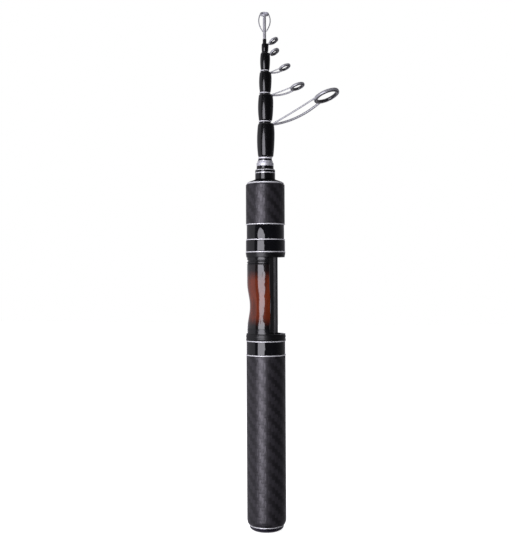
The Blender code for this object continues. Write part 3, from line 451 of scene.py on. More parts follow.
for node, body in RING_BODIES.items():
    change = (BUTT_RING_PROUD, BUTT_RING_THINNER) if body == "cap_ring" else ()
    fitted(node + "_band", spun(ring_section(node, *change)), POLISHED_STEEL, "polished_steel", body, node)


# Gloss collars
# The collar above the rear grip and the lock nut are turned tubes in gloss black lacquer.
# The nut has the seat's thread inside and a ledge that catches the hood's clip.
COLLAR_EDGE = 0.2 * mm
SEAT_THREAD_PITCH = 3.6 * mm
SEAT_THREAD_DEPTH = 0.8 * mm
THREAD_ROWS = 10
NUT_COUNTERBORE = 13.6 * mm
NUT_LEDGE = 1.3 * mm
NUT_BORE = 10.7 * mm
NUT_CLEARANCE = 0.3 * mm
COLLAR_LACQUER = gloss_lacquer("collar_lacquer", (0.003, 0.003, 0.004), 0.2 * mm, 210.0)


def tube_outline(node):
    """The outline of a plain tube with a CAD node's radius, bore and ends."""
    low, high, bore = measured(node)
    return [(high.x, high.z), (high.x, low.z), (bore, low.z), (bore, high.z)]


def thread_line(radius, low, high, pitch):
    """Outline points down a threaded stretch."""
    count = ceil((high - low) / (pitch / THREAD_ROWS))
    return [(radius, high + (low - high) * index / count) for index in range(count + 1)]


def raise_thread(shape, radius, low, high, pitch, depth, fade=0.5):
    """Raise a right-hand thread on one radius of a turned shape, faded at both ends over fade pitches."""
    near = 0.01 * mm
    for vert in shape.verts:
        place = vert.co
        if abs(place.xy.length - radius) > near or not low - near < place.z < high + near:
            continue
        turn = 2.0 * pi * place.z / pitch - atan2(place.y, place.x)
        height = depth * (0.5 + 0.5 * cos(turn))
        if fade > 0.0:
            height *= min(1.0, max(0.0, min(place.z - low, high - place.z) / (fade * pitch)))
        place.xy *= (radius + height) / radius


shape = spun(tube_outline("rear_collar"), COLLAR_EDGE)
fitted("rear_gloss_collar", shape, COLLAR_LACQUER, "gloss_black", "handle", "rear_collar")

low, high, ledge_bore = measured("lock_nut")
ledge_top = low.z + NUT_LEDGE
thread_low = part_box("hood_collar")[1].z + NUT_CLEARANCE
outline = [(high.x, high.z), (high.x, low.z), (ledge_bore, low.z), (ledge_bore, ledge_top),
           (NUT_COUNTERBORE, ledge_top), (NUT_COUNTERBORE, thread_low)]
outline += thread_line(NUT_BORE, thread_low, high.z, SEAT_THREAD_PITCH)[::-1]
shape = spun(outline)
raise_thread(shape, NUT_BORE, thread_low, high.z, SEAT_THREAD_PITCH, SEAT_THREAD_DEPTH, fade=0.0)
fitted("gloss_lock_nut", shape, COLLAR_LACQUER, "gloss_black", "nut", "lock_nut")


# Reel seat
# The moulded body narrows at its waist. It has a flat deck with two rails for the reel foot
# on its front, a recess for the coloured insert round its back, and a threaded pipe on top.
DECK_X = 8.3 * mm
DECK_EDGE_X = 6.1 * mm
RAIL_HALF_WIDTH = 6.3 * mm
CHANNEL_HALF_WIDTH = 4.8 * mm
CHANNEL_DEPTH = 0.35 * mm
SEAT_RADIUS = 14.8 * mm
WAIST_RADIUS = 12.7 * mm
WAIST_HEIGHT = 26.3 * mm
WAIST_REACH = 18.5 * mm
SEAT_TAIL_RADIUS = 11.4 * mm
PIPE_RADIUS = 10.3 * mm
INSERT_WALL = 1.0 * mm
INSERT_HALF_ANGLE = radians(120.5)
INSERT_GAP = 0.12 * mm
GROOVE_DEPTH = 0.7 * mm
FINE_GROOVE = 0.65 * mm
BROAD_GROOVE = 1.7 * mm
WAIST_POINTS = 28
GROOVE_POINTS = 7
REAR_GROOVE_DROP = 6.4 * mm
FRONT_GROOVE_RISES = (0.7 * mm, 2.35 * mm)
SEAT_FOOT_RISE = 0.8 * mm
SEAT_TOP_GAP = 0.4 * mm
PIPE_CHAMFER = 0.5 * mm
PIPE_CLEAR = 1.0 * mm
PIPE_THREAD_DROP = 7.0 * mm
RECESS_EXTRA = 0.01
DECK_FACING = 0.9
DARK_SHADE = (0.003, 0.003, 0.0035)
# The grey of a painted reflection on the deck's far half, and the distance past the middle over which it
# fades in
DECK_SHEEN_GREY = (0.05, 0.05, 0.055)
DECK_SHEEN_REACH = 3.0 * mm
FAR = 40.0 * mm


def ends(node):
    """The heights of a CAD node's two ends, the lower first."""
    low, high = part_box(node)
    return low.z, high.z


seat_low = ends("fixed_hood")[0] + SEAT_FOOT_RISE
seat_top = ends("hood_collar")[0] - SEAT_TOP_GAP
insert_low, insert_high = ends("seat_insert")
tail_low, pipe_top = ends("seat_body")
seat_bore = radii_at("seat_body", tail_low)[0]


def seat_radius(height):
    """The seat's radius: full at both ends and drawn in at the waist."""
    share = min(1.0, abs(height - seat_low - WAIST_HEIGHT) / WAIST_REACH)
    return SEAT_RADIUS - (SEAT_RADIUS - WAIST_RADIUS) * (0.5 + 0.5 * cos(pi * share))


def waist_line(low, high, inset=0.0):
    """Points down the seat's side, moved in by inset."""
    heights = [high + (low - high) * index / WAIST_POINTS for index in range(WAIST_POINTS + 1)]
    return [(seat_radius(height) - inset, height) for height in heights]


def groove_line(low, width):
    """A round-bottomed groove, from its upper edge to its lower one."""
    line = []
    for index in range(GROOVE_POINTS):
        share = index / (GROOVE_POINTS - 1)
        height = low + width * (1.0 - share)
        line.append((seat_radius(height) - GROOVE_DEPTH * sin(pi * share), height))
    return line


def prism(outline, low, high):
    """A flat outline drawn straight up."""
    shape = bmesh.new()
    face = shape.faces.new([shape.verts.new((x, y, low)) for x, y in outline])
    grown = bmesh.ops.extrude_face_region(shape, geom=[face])
    raised = [item for item in grown["geom"] if isinstance(item, bmesh.types.BMVert)]
    bmesh.ops.translate(shape, vec=(0.0, 0.0, high - low), verts=raised)
    bmesh.ops.recalc_face_normals(shape, faces=shape.faces)
    return shape


def deck_space(lift, low, high):
    """All that lies in front of the deck, raised by lift."""
    side = [(DECK_X + lift, RAIL_HALF_WIDTH), (DECK_EDGE_X + lift, SEAT_RADIUS), (DECK_EDGE_X + lift, FAR),
            (FAR, FAR)]
    mirrored = [(x, -y) for x, y in side]
    return prism(side + mirrored[::-1], low, high)


def box_space(low, high):
    """A box between two corners."""
    shape = bmesh.new()
    bmesh.ops.create_cube(shape, size=1.0)
    bmesh.ops.scale(shape, vec=Vector(high) - Vector(low), verts=shape.verts)
    bmesh.ops.translate(shape, vec=(Vector(low) + Vector(high)) / 2.0, verts=shape.verts)
    return shape


def front_wedge(half_angle, low, high):
    """The wedge in front that leaves half_angle of a ring on each side of the back."""
    opening = pi - half_angle
    side = Vector((cos(opening), sin(opening))) * 2.0 * FAR
    return prism([(0.0, 0.0), (side.x, -side.y), (4.0 * FAR, 0.0), (side.x, side.y)], low, high)


def finished_shape(holders, near):
    """The first holder's finished shape; all the holders are dropped."""
    bpy.context.view_layer.update()
    graph = bpy.context.evaluated_depsgraph_get()
    mesh = bpy.data.meshes.new_from_object(holders[0].evaluated_get(graph))
    made = bmesh.new()
    made.from_mesh(mesh)
    for holder in holders:
        bpy.data.objects.remove(holder, do_unlink=True)
    bpy.data.meshes.remove(mesh)
    bmesh.ops.remove_doubles(made, verts=made.verts, dist=near)
    return made


def combined(shape, other, operation="DIFFERENCE"):
    """Cut one shape out of another, or join the two."""
    holders = []
    for part in (shape, other):
        mesh = bpy.data.meshes.new("blank_mesh")
        part.to_mesh(mesh)
        part.free()
        holders.append(placed("holder", mesh))
    step = holders[0].modifiers.new("combine", "BOOLEAN")
    step.operation = operation
    step.solver = "EXACT"
    step.object = holders[1]
    return finished_shape(holders, 0.002 * mm)


def moulded_black(name, colour, roughness, shine=0.5):
    """Dark moulded plastic: satin, with a very fine grain and slight rubbing."""
    return grained(name, colour, roughness, 0.0, shine, (1800.0, 2.0), 0.006 * mm,
                   (140.0, 5.0, 0.8 * roughness, 1.3 * roughness, 0.35))


def deck_finish():
    """The seat's black where reel feet slide: dull, with a painted reflection in grey on its far half."""
    made = moulded_black("deck_black", DARK_SHADE, 0.3, 0.12)
    tree = made.node_tree
    # Painted reflection: the deck's colour turns grey over its far half.
    far_sheen = between(tree, object_place(tree)[1], 0.0, DECK_SHEEN_REACH, 0.0, 1.0)
    tone = mixed_colour(tree, far_sheen, (*DARK_SHADE, 1.0), (*DECK_SHEEN_GREY, 1.0))
    fill(tree, tree.nodes["Principled BSDF"], {"Base Color": tone})
    return made


SEAT_BLACK = moulded_black("seat_black", (0.0035, 0.0034, 0.004), 0.2)
DECK_BLACK = deck_finish()

outline = [(PIPE_RADIUS - PIPE_CHAMFER, pipe_top)]
outline += thread_line(PIPE_RADIUS, seat_top + PIPE_CLEAR, pipe_top - PIPE_CHAMFER, SEAT_THREAD_PITCH)
outline += [(PIPE_RADIUS, seat_top), (SEAT_RADIUS, seat_top)]
outline += groove_line(insert_high + FRONT_GROOVE_RISES[1], BROAD_GROOVE)
outline += groove_line(insert_high + FRONT_GROOVE_RISES[0], FINE_GROOVE)
outline += waist_line(insert_low, insert_high)
outline += groove_line(insert_low - REAR_GROOVE_DROP, FINE_GROOVE)
outline += [(SEAT_RADIUS, seat_low), (SEAT_TAIL_RADIUS, seat_low), (SEAT_TAIL_RADIUS, tail_low),
            (seat_bore, tail_low), (seat_bore, pipe_top)]
shape = spun(outline)
raise_thread(shape, PIPE_RADIUS, ends("hood_collar")[1] - PIPE_THREAD_DROP, pipe_top - PIPE_CHAMFER,
             SEAT_THREAD_PITCH, SEAT_THREAD_DEPTH)
shape = combined(shape, deck_space(0.0, seat_low - mm, seat_top))
shape = combined(shape, box_space((DECK_X - CHANNEL_DEPTH, -CHANNEL_HALF_WIDTH, seat_low - mm),
                                  (FAR, CHANNEL_HALF_WIDTH, seat_top)))
recess = [(FAR, insert_high + INSERT_GAP), (FAR, insert_low - INSERT_GAP)]
recess += waist_line(insert_low - INSERT_GAP, insert_high + INSERT_GAP, INSERT_WALL + INSERT_GAP)[::-1]
wedge = front_wedge(INSERT_HALF_ANGLE + RECESS_EXTRA, seat_low, seat_top)
shape = combined(shape, combined(spun(recess), wedge))
seat = fitted("seat_moulding", shape, SEAT_BLACK, "black_plastic", "handle", "seat_body")
seat.data.materials.append(DECK_BLACK)
for face in seat.data.polygons:
    if face.normal.x > DECK_FACING and seat_low < face.center.z < seat_top:
        face.material_index = 1


# Seat insert
# A thin wrap-round panel in the seat's back, painted in a burst from orange-brown in the
# middle to black at both ends and lacquered. Its lacquer is thick and slightly wavy.
BURST_STOPS = ((0.0, (0.003, 0.002, 0.002)), (0.04, (0.004, 0.002, 0.002)), (0.10, (0.035, 0.006, 0.003)),
               (0.17, (0.095, 0.014, 0.0035)), (0.50, (0.115, 0.017, 0.004)), (0.76, (0.1, 0.0145, 0.0035)),
               (0.85, (0.032, 0.006, 0.003)), (0.92, (0.004, 0.002, 0.002)))
BURST_DRIFT = 0.07
INSERT_WAVES = 1.0 * mm
INSERT_EDGE = 0.12 * mm


def burst_lacquer():
    """A painted burst along the panel, over a faint figure, under thick clear lacquer."""
    made, tree, shader = new_finish("burst_lacquer", BURST_STOPS[4][1], 0.25)
    height = reckon(tree, "SUBTRACT", object_place(tree)[2], insert_low)
    share = reckon(tree, "DIVIDE", height, insert_high - insert_low)
    drift = reckon(tree, "MULTIPLY_ADD", grain(tree, 220.0, 4.0), BURST_DRIFT, -BURST_DRIFT / 2.0)
    paint = colour_ramp(tree, reckon(tree, "ADD", share, drift), BURST_STOPS)
    figure = between(tree, grain(tree, 300.0, 5.0, stretch=(1.0, 1.0, 0.12)), 0.3, 0.7, 0.62, 1.3)
    tone = add_node(tree, "VectorMath", {0: paint, "Scale": figure}, operation="SCALE")
    fill(tree, shader, {"Base Color": tone.outputs[0], "Specular IOR Level": 0.1, "Coat Weight": 1.0,
                        "Coat Roughness": 0.035})
    raise_surface(tree, shader, lacquer_runs(tree, 130.0), INSERT_WAVES, "Coat Normal")
    return made


outline = waist_line(insert_low, insert_high) + waist_line(insert_low, insert_high, INSERT_WALL)[::-1]
shape = combined(spun(outline), front_wedge(INSERT_HALF_ANGLE, seat_low, seat_top))
shape = combined(shape, deck_space(0.0, seat_low, seat_top))
round_hard_edges(shape, INSERT_EDGE)
fitted("burst_insert", shape, burst_lacquer(), "sunburst", "handle", "seat_insert")


# Hoods
# The fixed hood is glued on the seat's tail; the moving one is a lip, a polished ring and a
# gloss collar in one stack, whose neck is caught in the lock nut. Both have a foot pocket.
POCKET_ROOF_X = 13.0 * mm
POCKET_HALF_WIDTH = 7.8 * mm
HOOD_BORE = 15.1 * mm
NECK_BORE = 11.5 * mm
NECK_RADIUS = 12.7 * mm
CLIP_SEAT_RADIUS = 12.2 * mm
CLIP_SEAT_HEIGHT = 1.3 * mm
HOOD_FLANGE = 1.3 * mm
HOOD_EDGE = 0.3 * mm
HOOD_LINES = (1.6 * mm, 4.3 * mm)
HOOD_LINE_DEPTH = 0.45 * mm
HOOD_FLOOR = 0.5 * mm
HOOD_GAP = 0.3 * mm
CLIP_GAP = 0.2 * mm
DECK_CLEARANCE = 0.3 * mm
POCKET_EDGE = 1.2 * mm
POCKET_RUN_OUT = 3.0 * mm
LIP_SLOPE = 0.5 * mm
LIP_CHAMFER = 0.1 * mm
HOOD_BLACK = moulded_black("hood_black", DARK_SHADE, 0.32, 0.38)


def hollow_hood(outline, low, high, pocket_low, pocket_high):
    """A turned piece of a hood, with room inside for the seat, its deck and the reel foot."""
    room = spun([(0.0, high), (HOOD_BORE, high), (HOOD_BORE, low), (0.0, low)], closed=False)
    room = combined(room, deck_space(DECK_CLEARANCE, low - mm, high + mm))
    pocket = box_space((0.0, -POCKET_HALF_WIDTH, pocket_low),
                       (POCKET_ROOF_X, POCKET_HALF_WIDTH, pocket_high))
    round_hard_edges(pocket, POCKET_EDGE)
    return combined(spun(outline), combined(room, pocket, "UNION"))


low, high, inner = measured("fixed_hood")
radius = high.y
outline = [(inner, low.z), (inner, high.z), (radius - HOOD_EDGE, high.z), (radius, high.z - HOOD_EDGE)]
for line in reversed(HOOD_LINES):
    outline += [(radius, low.z + line + HOOD_LINE_DEPTH), (radius - HOOD_LINE_DEPTH, low.z + line),
                (radius, low.z + line - HOOD_LINE_DEPTH)]
outline.append((radius, low.z))
floor_height = low.z + HOOD_FLOOR
shape = hollow_hood(outline, floor_height, high.z + mm, floor_height, high.z + POCKET_RUN_OUT)
fitted("rear_hood", shape, HOOD_BLACK, "black_plastic", "handle", "fixed_hood")

lip_low, lip_high = ends("hood_lip")
ring_low, ring_high = ends("hood_trim_ring")
collar_low, neck_top = ends("hood_collar")
hood_top = ends("nut_ring_low")[0] - HOOD_GAP
clip_low = ends("retaining_clip")[0] - CLIP_GAP
clip_high = clip_low + CLIP_SEAT_HEIGHT
lip_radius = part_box("hood_lip")[1].y
collar_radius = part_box("hood_collar")[1].y
join_low = (lip_high + ring_low) / 2.0
join_high = (ring_high + collar_low) / 2.0
room_top = hood_top - HOOD_FLANGE

outline = [(NECK_BORE, lip_low), (NECK_BORE, lip_high), (lip_radius, lip_high),
           (lip_radius - LIP_SLOPE, lip_low + HOOD_EDGE), (lip_radius - LIP_SLOPE - LIP_CHAMFER, lip_low)]
shape = hollow_hood(outline, lip_low - mm, join_low, lip_low - POCKET_RUN_OUT, join_low)
fitted("front_hood_lip", shape, HOOD_BLACK, "black_plastic", "hood", "hood_lip")

section = crowned_ring(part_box("hood_trim_ring")[1].y, NECK_BORE, ring_low, ring_high)
shape = hollow_hood(section, join_low, join_high, join_low - POCKET_RUN_OUT, join_high)
fitted("front_hood_ring", shape, POLISHED_STEEL, "polished_steel", "hood", "hood_trim_ring")

outline = [(NECK_RADIUS, neck_top), (NECK_RADIUS, clip_high), (CLIP_SEAT_RADIUS, clip_high),
           (CLIP_SEAT_RADIUS, clip_low), (NECK_RADIUS, clip_low), (NECK_RADIUS, hood_top),
           (collar_radius - COLLAR_EDGE, hood_top), (collar_radius, hood_top - COLLAR_EDGE),
           (collar_radius, collar_low + COLLAR_EDGE), (collar_radius - COLLAR_EDGE, collar_low),
           (NECK_BORE, collar_low), (NECK_BORE, neck_top)]
shape = hollow_hood(outline, join_high, room_top, join_high - POCKET_RUN_OUT, room_top)
fitted("front_hood_collar", shape, COLLAR_LACQUER, "gloss_black", "hood", "hood_collar")


# Winding check, butt wrap, band and ferrule
# A polished hoop and a low matte cone close the grip's end. Above them the blank is bound
# with black thread and two silver trim bands under epoxy, and a turned ferrule caps it.
THREAD_PITCH = 0.22 * mm
# Painted shade in the grooves between thread turns and painted sheen on their crowns
THREAD_GROOVE_SHADE = (0.0008, 0.0008, 0.001, 1.0)
THREAD_CROWN_SHEEN = (0.0035, 0.0035, 0.004, 1.0)
THREAD_SILVER = (0.72, 0.72, 0.74, 1.0)
THREAD_DEPTH = 0.008 * mm
EPOXY_WAVES = 0.12 * mm
CONE_EDGE = 0.12 * mm
CONE_FOOT = 0.2 * mm
WRAP_EDGE = 0.3 * mm
WRAP_SHOULDER = ((1.0 * mm, 0.0), (0.25 * mm, 0.7 * mm), (0.0, 1.3 * mm))
BAND_EDGE = 0.4 * mm
FERRULE_EDGE = 0.18 * mm
FERRULE_BEAD = 0.35 * mm
FERRULE_NECK = 2.6
FERRULE_FLARE = 5.0
FERRULE_SHORTER = 0.5 * mm
BUTT_TRIMS = ((7.1 * mm, 7.7 * mm), (4.8 * mm, 5.4 * mm))
CONE_BLACK = moulded_black("cone_black", (0.004, 0.004, 0.005), 0.6, 0.05)


def bound_thread(name, trims=()):
    """Black winding thread under clear epoxy, with painted shade in the grooves between turns and painted
    sheen on their crowns, and silver thread between given heights.
    """
    made, tree, shader = new_finish(name, (0.002, 0.002, 0.0025), 0.3)
    turns = wound_height(tree, THREAD_PITCH)
    raise_surface(tree, shader, turns, THREAD_DEPTH)
    # Painted shade and sheen: each turn dark in its groove and lighter on its crown.
    tone = mixed_colour(tree, turns, THREAD_GROOVE_SHADE, THREAD_CROWN_SHEEN)
    z = object_place(tree)[2]
    silver = None
    for low, high in trims:
        above = reckon(tree, "GREATER_THAN", z, low)
        band = reckon(tree, "MULTIPLY", above, reckon(tree, "LESS_THAN", z, high))
        silver = band if silver is None else reckon(tree, "MAXIMUM", silver, band)
    if silver is not None:
        tone = mixed_colour(tree, silver, tone, THREAD_SILVER)
        fill(tree, shader, {"Metallic": reckon(tree, "MULTIPLY", silver, 0.4)})
    fill(tree, shader, {"Base Color": tone, "Specular IOR Level": 0.1, "Coat Weight": 0.75,
                        "Coat Roughness": 0.025})
    raise_surface(tree, shader, grain(tree, 130.0, 1.0), EPOXY_WAVES, "Coat Normal")
    return made


shape = spun(ring_section("winding_check"))
fitted("polished_check", shape, BRIGHT_TRIM, "polished_steel", "handle", "winding_check")

low, high, bore = measured("check_cone")
top = radii_at("check_cone", high.z)[-1]
outline = [(bore, high.z), (top, high.z), (high.x, low.z + CONE_FOOT), (high.x, low.z), (bore, low.z)]
fitted("matte_cone", spun(outline, CONE_EDGE), CONE_BLACK, "gloss_black", "handle", "check_cone")

low, high, bore = measured("butt_wrap")
outline = [(bore, low.z), (bore, high.z)]
outline += [(high.x - inward, high.z - down) for inward, down in WRAP_SHOULDER] + [(high.x, low.z)]
finish = bound_thread("butt_thread", [(low.z + start, low.z + end) for start, end in BUTT_TRIMS])
fitted("butt_binding", spun(outline, WRAP_EDGE), finish, "gloss_black", "handle", "butt_wrap")

shape = spun(tube_outline("ferrule_band"), BAND_EDGE)
fitted("band_binding", shape, bound_thread("band_thread"), "gloss_black", "handle", "ferrule_band")

low, high, bore = measured("ferrule")
top = radii_at("ferrule", high.z)[-1]
high.z -= FERRULE_SHORTER
outline = [(bore, high.z), (top, high.z), (top, high.z - 2.0 * FERRULE_BEAD),
           (top - FERRULE_BEAD, high.z - FERRULE_NECK * FERRULE_BEAD),
           (high.x, high.z - FERRULE_FLARE * FERRULE_BEAD), (high.x, low.z), (bore, low.z)]
fitted("turned_ferrule", spun(outline, FERRULE_EDGE), TURNED_STEEL, "brushed_steel", "handle", "ferrule")


# Telescoping tubes
# Five hollow tapered tubes and the solid tip, each a little thinner than the one below, of
# rolled carbon in gloss lacquer. Each stands inside the next until it is drawn out.
SECTION_NAMES = ("section_6", "section_5", "section_4", "section_3", "section_2")
for name in SECTION_NAMES:
    node = name + "_blank"
    low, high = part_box(node)
    mouth, lip = radii_at(node, high.z)
    bore, foot = radii_at(node, low.z)
    outline = [(lip, high.z), (foot, low.z), (bore, low.z), (mouth, high.z)]
    fitted(name + "_tube", spun(outline, BLANK_LIP_ROUNDING), BLANK_LACQUER, "gloss_black", name, node)

low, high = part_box("section_1_blank")
tip_radius = radii_at("section_1_blank", high.z)[-1]
outline = [(0.0, high.z), (tip_radius, high.z), (high.x, low.z), (0.0, low.z)]
shape = spun(outline, BLANK_LIP_ROUNDING, closed=False)
fitted("section_1_rod", shape, BLANK_LACQUER, "gloss_black", "section_1", "section_1_blank")


# Trim bands
# Four of the tubes have a bright metal band at their binding, slid over the tube before the
# thread is wound. The thinnest two have none.
for name in SECTION_NAMES[:4]:
    node = name + "_trim"
    fitted(node + "_band", spun(ring_section(node)), BRIGHT_TRIM, "polished_steel", name, node)


# Bindings
# Each guide's foot is bound to its tube with thread and drowned in epoxy, which makes a long
# swelling, fuller over the foot. The tip has a short plain binding below its guide.
BINDING_ROWS = 26
BINDING_STEPS = 64
BINDING_END = 0.35 * mm
BINDING_TAPER = 0.87
BINDING_FULLER = 0.15 * mm
BINDING_SEAM = 0.1 * mm
BINDING_PUSH = 1.4
FOOT_SHOULDER = 0.55 * mm
FOOT_SHOULDER_RADIUS = 6.8 * mm
FOOT_MIDDLE = 0.12
FOOT_SPREAD = 0.35
FOOT_NARROWNESS = 1.5
TIP_BINDING_EDGE = 0.3 * mm
SMALL_STEPS = 48


def top_radius(node):
    """A tube's outer radius at its upper end."""
    return radii_at(node, ends(node)[1])[-1]


for name in SECTION_NAMES:
    low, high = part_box(name + "_wrap")
    bore = top_radius(name + "_blank")
    length = high.z - low.z
    middle_radius = (high.y - low.y) / 2.0 + BINDING_FULLER
    push = (high.x + low.x) / 2.0
    end_radius = max(bore + 2.0 * BINDING_END, BINDING_TAPER * middle_radius)
    outline = [(bore, low.z), (bore, high.z)]
    for index in range(BINDING_ROWS + 1):
        share = index / BINDING_ROWS
        swell = 4.0 * share * (1.0 - share)
        radius = end_radius + (middle_radius - end_radius) * swell
        edge = min(share, 1.0 - share) * length
        if edge < BINDING_END:
            radius -= BINDING_END * (1.0 - sqrt(1.0 - (1.0 - edge / BINDING_END) ** 2))
        outline.append((radius, high.z - length * share))
    shape = spun(outline, steps=BINDING_STEPS)
    for vert in shape.verts:
        if vert.co.xy.length < bore + BINDING_SEAM:
            continue
        share = (high.z - vert.co.z) / length
        facing = max(0.0, cos(atan2(vert.co.y, vert.co.x)))
        over_foot = facing ** FOOT_NARROWNESS * exp(-((share - FOOT_MIDDLE) / FOOT_SPREAD) ** 2)
        vert.co.x += BINDING_PUSH * push + FOOT_SHOULDER * over_foot * middle_radius / FOOT_SHOULDER_RADIUS
    fitted(name + "_binding", shape, bound_thread(name + "_thread"), "gloss_black", name, name + "_wrap")

shape = spun(tube_outline("section_1_wrap"), TIP_BINDING_EDGE, steps=SMALL_STEPS)
finish = bound_thread("section_1_thread")
fitted("section_1_binding", shape, finish, "gloss_black", "section_1", "section_1_wrap")


# Line guides
# Each guide is a steel frame, a ring on two wire legs that go down under the binding, with a
# dark ceramic ring pressed into it. The leg far from the camera is thicker and bows more.
GUIDE_ROLL = radians(6.0)
GUIDE_SEAT_SHARE = 0.75
INSERT_OVERLAP = 0.1 * mm
INSERT_WIDTH_SHARE = 1.15
LEG_ANGLE = radians(42.0)
LEG_SHARES = [index / 14 for index in range(15)]
LEG_GAP = 0.2 * mm
RING_STEPS = 72
OVAL_POINTS = 16
# Each guide's tilt in degrees, ring width, share of the CAD hole left open and leg radius
GUIDES = {"guide_6": (23.0, 2.3 * mm, 0.93, 0.85 * mm), "guide_5": (21.0, 1.8 * mm, 0.84, 0.65 * mm),
          "guide_4": (25.0, 1.5 * mm, 0.8, 0.55 * mm), "guide_3": (33.0, 1.6 * mm, 0.74, 0.45 * mm),
          "guide_2": (33.0, 1.5 * mm, 0.74, 0.4 * mm)}
# The near leg's side, bow and thickness as a share of the leg radius, then the far leg's
LEGS = ((-1.0, 0.012, 0.8), (1.0, 0.065, 1.2))
# Where a leg starts and where it leaves the binding, in leg radii: outwards, aside and down
LEG_START = (1.0, 0.6, 3.0)
LEG_EXIT = (1.3, 0.8, 1.0)


def ceramic_finish(name, colour):
    """Polished ceramic with a faint bloom."""
    return grained(name, colour, 0.12, 0.0, 0.8, (3000.0, 2.0), 0.003 * mm, (900.0, 3.0, 0.08, 0.2))


RING_CERAMIC = ceramic_finish("ring_ceramic", (0.02, 0.02, 0.023))
GUIDE_STEEL = grained("guide_steel", (0.36, 0.36, 0.38), 0.42, 0.45, 0.5, (1500.0, 3.0), 0.0005 * mm,
                      (420.0, 4.0, 0.36, 0.48))


def round_ring(outer, inner, band, place):
    """A ring with an oval section, moved from the origin to its place."""
    middle = (outer + inner) / 2.0
    half_width = (outer - inner) / 2.0
    section = []
    for index in range(OVAL_POINTS):
        angle = 2.0 * pi * index / OVAL_POINTS
        section.append((middle + half_width * cos(angle), 0.5 * band * sin(angle)))
    shape = spun(section, steps=RING_STEPS)
    bmesh.ops.transform(shape, matrix=place, verts=shape.verts)
    return shape


def wire(points, radii):
    """A closed round wire through points."""
    curve = bpy.data.curves.new("wire", "CURVE")
    curve.dimensions = "3D"
    curve.bevel_depth = 1.0
    curve.bevel_resolution = 3
    curve.use_fill_caps = True
    spline = curve.splines.new("POLY")
    spline.points.add(len(points) - 1)
    for knot, place, radius in zip(spline.points, points, radii):
        knot.co = (*place, 1.0)
        knot.radius = radius
    shape = finished_shape([placed("wire", curve)], 0.001 * mm)
    bmesh.ops.recalc_face_normals(shape, faces=shape.faces)
    return shape


def ring_middle(node):
    """The middle of a guide ring and its hole's radius."""
    low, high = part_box(node)
    middle = (low + high) / 2.0
    return middle, min((vert.co - middle).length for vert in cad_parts[node].data.vertices)


for name, (tilt, band, hole_share, leg) in GUIDES.items():
    section = name.replace("guide", "section")
    middle, hole = ring_middle(name + "_ring")
    low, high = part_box(name + "_frame")
    outer = (high.y - low.y) / 2.0
    hole *= hole_share
    seat = hole + GUIDE_SEAT_SHARE * (outer - hole)
    lift = Matrix.Rotation(radians(-tilt), 4, "Y") @ Matrix.Rotation(-GUIDE_ROLL, 4, "X")
    place = Matrix.Translation(middle) @ lift
    wrap_top = ends(section + "_wrap")[1]
    foot_x = top_radius(section + "_blank") + LEG_GAP
    shape = round_ring(outer, seat, band, place)
    for side, bow, thickness in LEGS:
        start, rise = [Vector((foot_x + out * leg, side * aside * leg, wrap_top - down * leg))
                       for out, aside, down in (LEG_START, LEG_EXIT)]
        local = Vector((-cos(LEG_ANGLE), side * sin(LEG_ANGLE), 0.0)) * (outer + seat) / 2.0
        end = place @ local
        sag = Vector((0.0, side * bow, -bow)) * (end - rise).length
        points = [start]
        for share in LEG_SHARES:
            points.append(rise.lerp(end, share) + sag * (4.0 * share * (1.0 - share)))
        shape = combined(shape, wire(points, [leg * thickness] * len(points)), "UNION")
    fitted(name + "_steel", shape, GUIDE_STEEL, "polished_steel", section, name + "_frame")

    shape = round_ring(seat - INSERT_OVERLAP, hole, INSERT_WIDTH_SHARE * band, place)
    fitted(name + "_insert", shape, RING_CERAMIC, "ring_ceramic", section, name + "_ring")


# Tip guide
# A tube glued over the rod's tip carries a small ring, braced by two bowed wire legs, with a
# pale ceramic insert. It has turned a little past square to the other guides.
TIP_TURN = radians(106.0)
TIP_TILT = radians(33.0)
TIP_LEG = 0.45 * mm
TIP_LEG_SPREAD = 6.6 * mm
TIP_BULGE_DROP = 4.4 * mm
TIP_LEG_DROP = 12.0 * mm
TIP_RING_REACH = 2.6 * mm
TIP_TUBE_RADIUS = 1.25 * mm
TIP_TUBE_CHAMFER = (0.3 * mm, 0.4 * mm)
TIP_TUBE_GLUE = 0.2 * mm
TIP_TUBE_STOP = 0.3 * mm
TIP_RING_OUTER = 3.6 * mm
TIP_RING_BAND = 1.9 * mm
TIP_SEAT_SHARE = 0.4
TIP_INSERT_BAND = 1.7 * mm
TIP_WEB_DROP = 0.8 * mm
TIP_LEG_OUT = 0.3 * TIP_LEG
TIP_BULGE_X = 0.3 * TIP_RING_REACH
TIP_WEB_X = 0.2 * TIP_TUBE_RADIUS
PALE_CERAMIC = ceramic_finish("pale_ceramic", (0.5, 0.5, 0.56))

middle, hole = ring_middle("tip_guide_ring")
seat = hole + TIP_SEAT_SHARE * (TIP_RING_OUTER - hole)
turn = Matrix.Rotation(TIP_TURN, 4, "Z")
place = Matrix.Translation(middle) @ turn @ Matrix.Rotation(-TIP_TILT, 4, "Y")
tube_low = ends("tip_guide_frame")[0]
tube_top = middle.z - TIP_RING_REACH
tube_bore = tip_radius + TIP_TUBE_GLUE
tube_stop = ends("section_1_blank")[1] + TIP_TUBE_STOP
outline = [(0.0, tube_top), (TIP_TUBE_RADIUS - TIP_TUBE_CHAMFER[0], tube_top),
           (TIP_TUBE_RADIUS, tube_top - TIP_TUBE_CHAMFER[1]), (TIP_TUBE_RADIUS, tube_low),
           (tube_bore, tube_low), (tube_bore, tube_stop), (0.0, tube_stop)]
shape = spun(outline, closed=False, steps=SMALL_STEPS)
shape = combined(shape, round_ring(TIP_RING_OUTER, seat, TIP_RING_BAND, place), "UNION")
ring_line = (TIP_RING_OUTER + seat) / 2.0
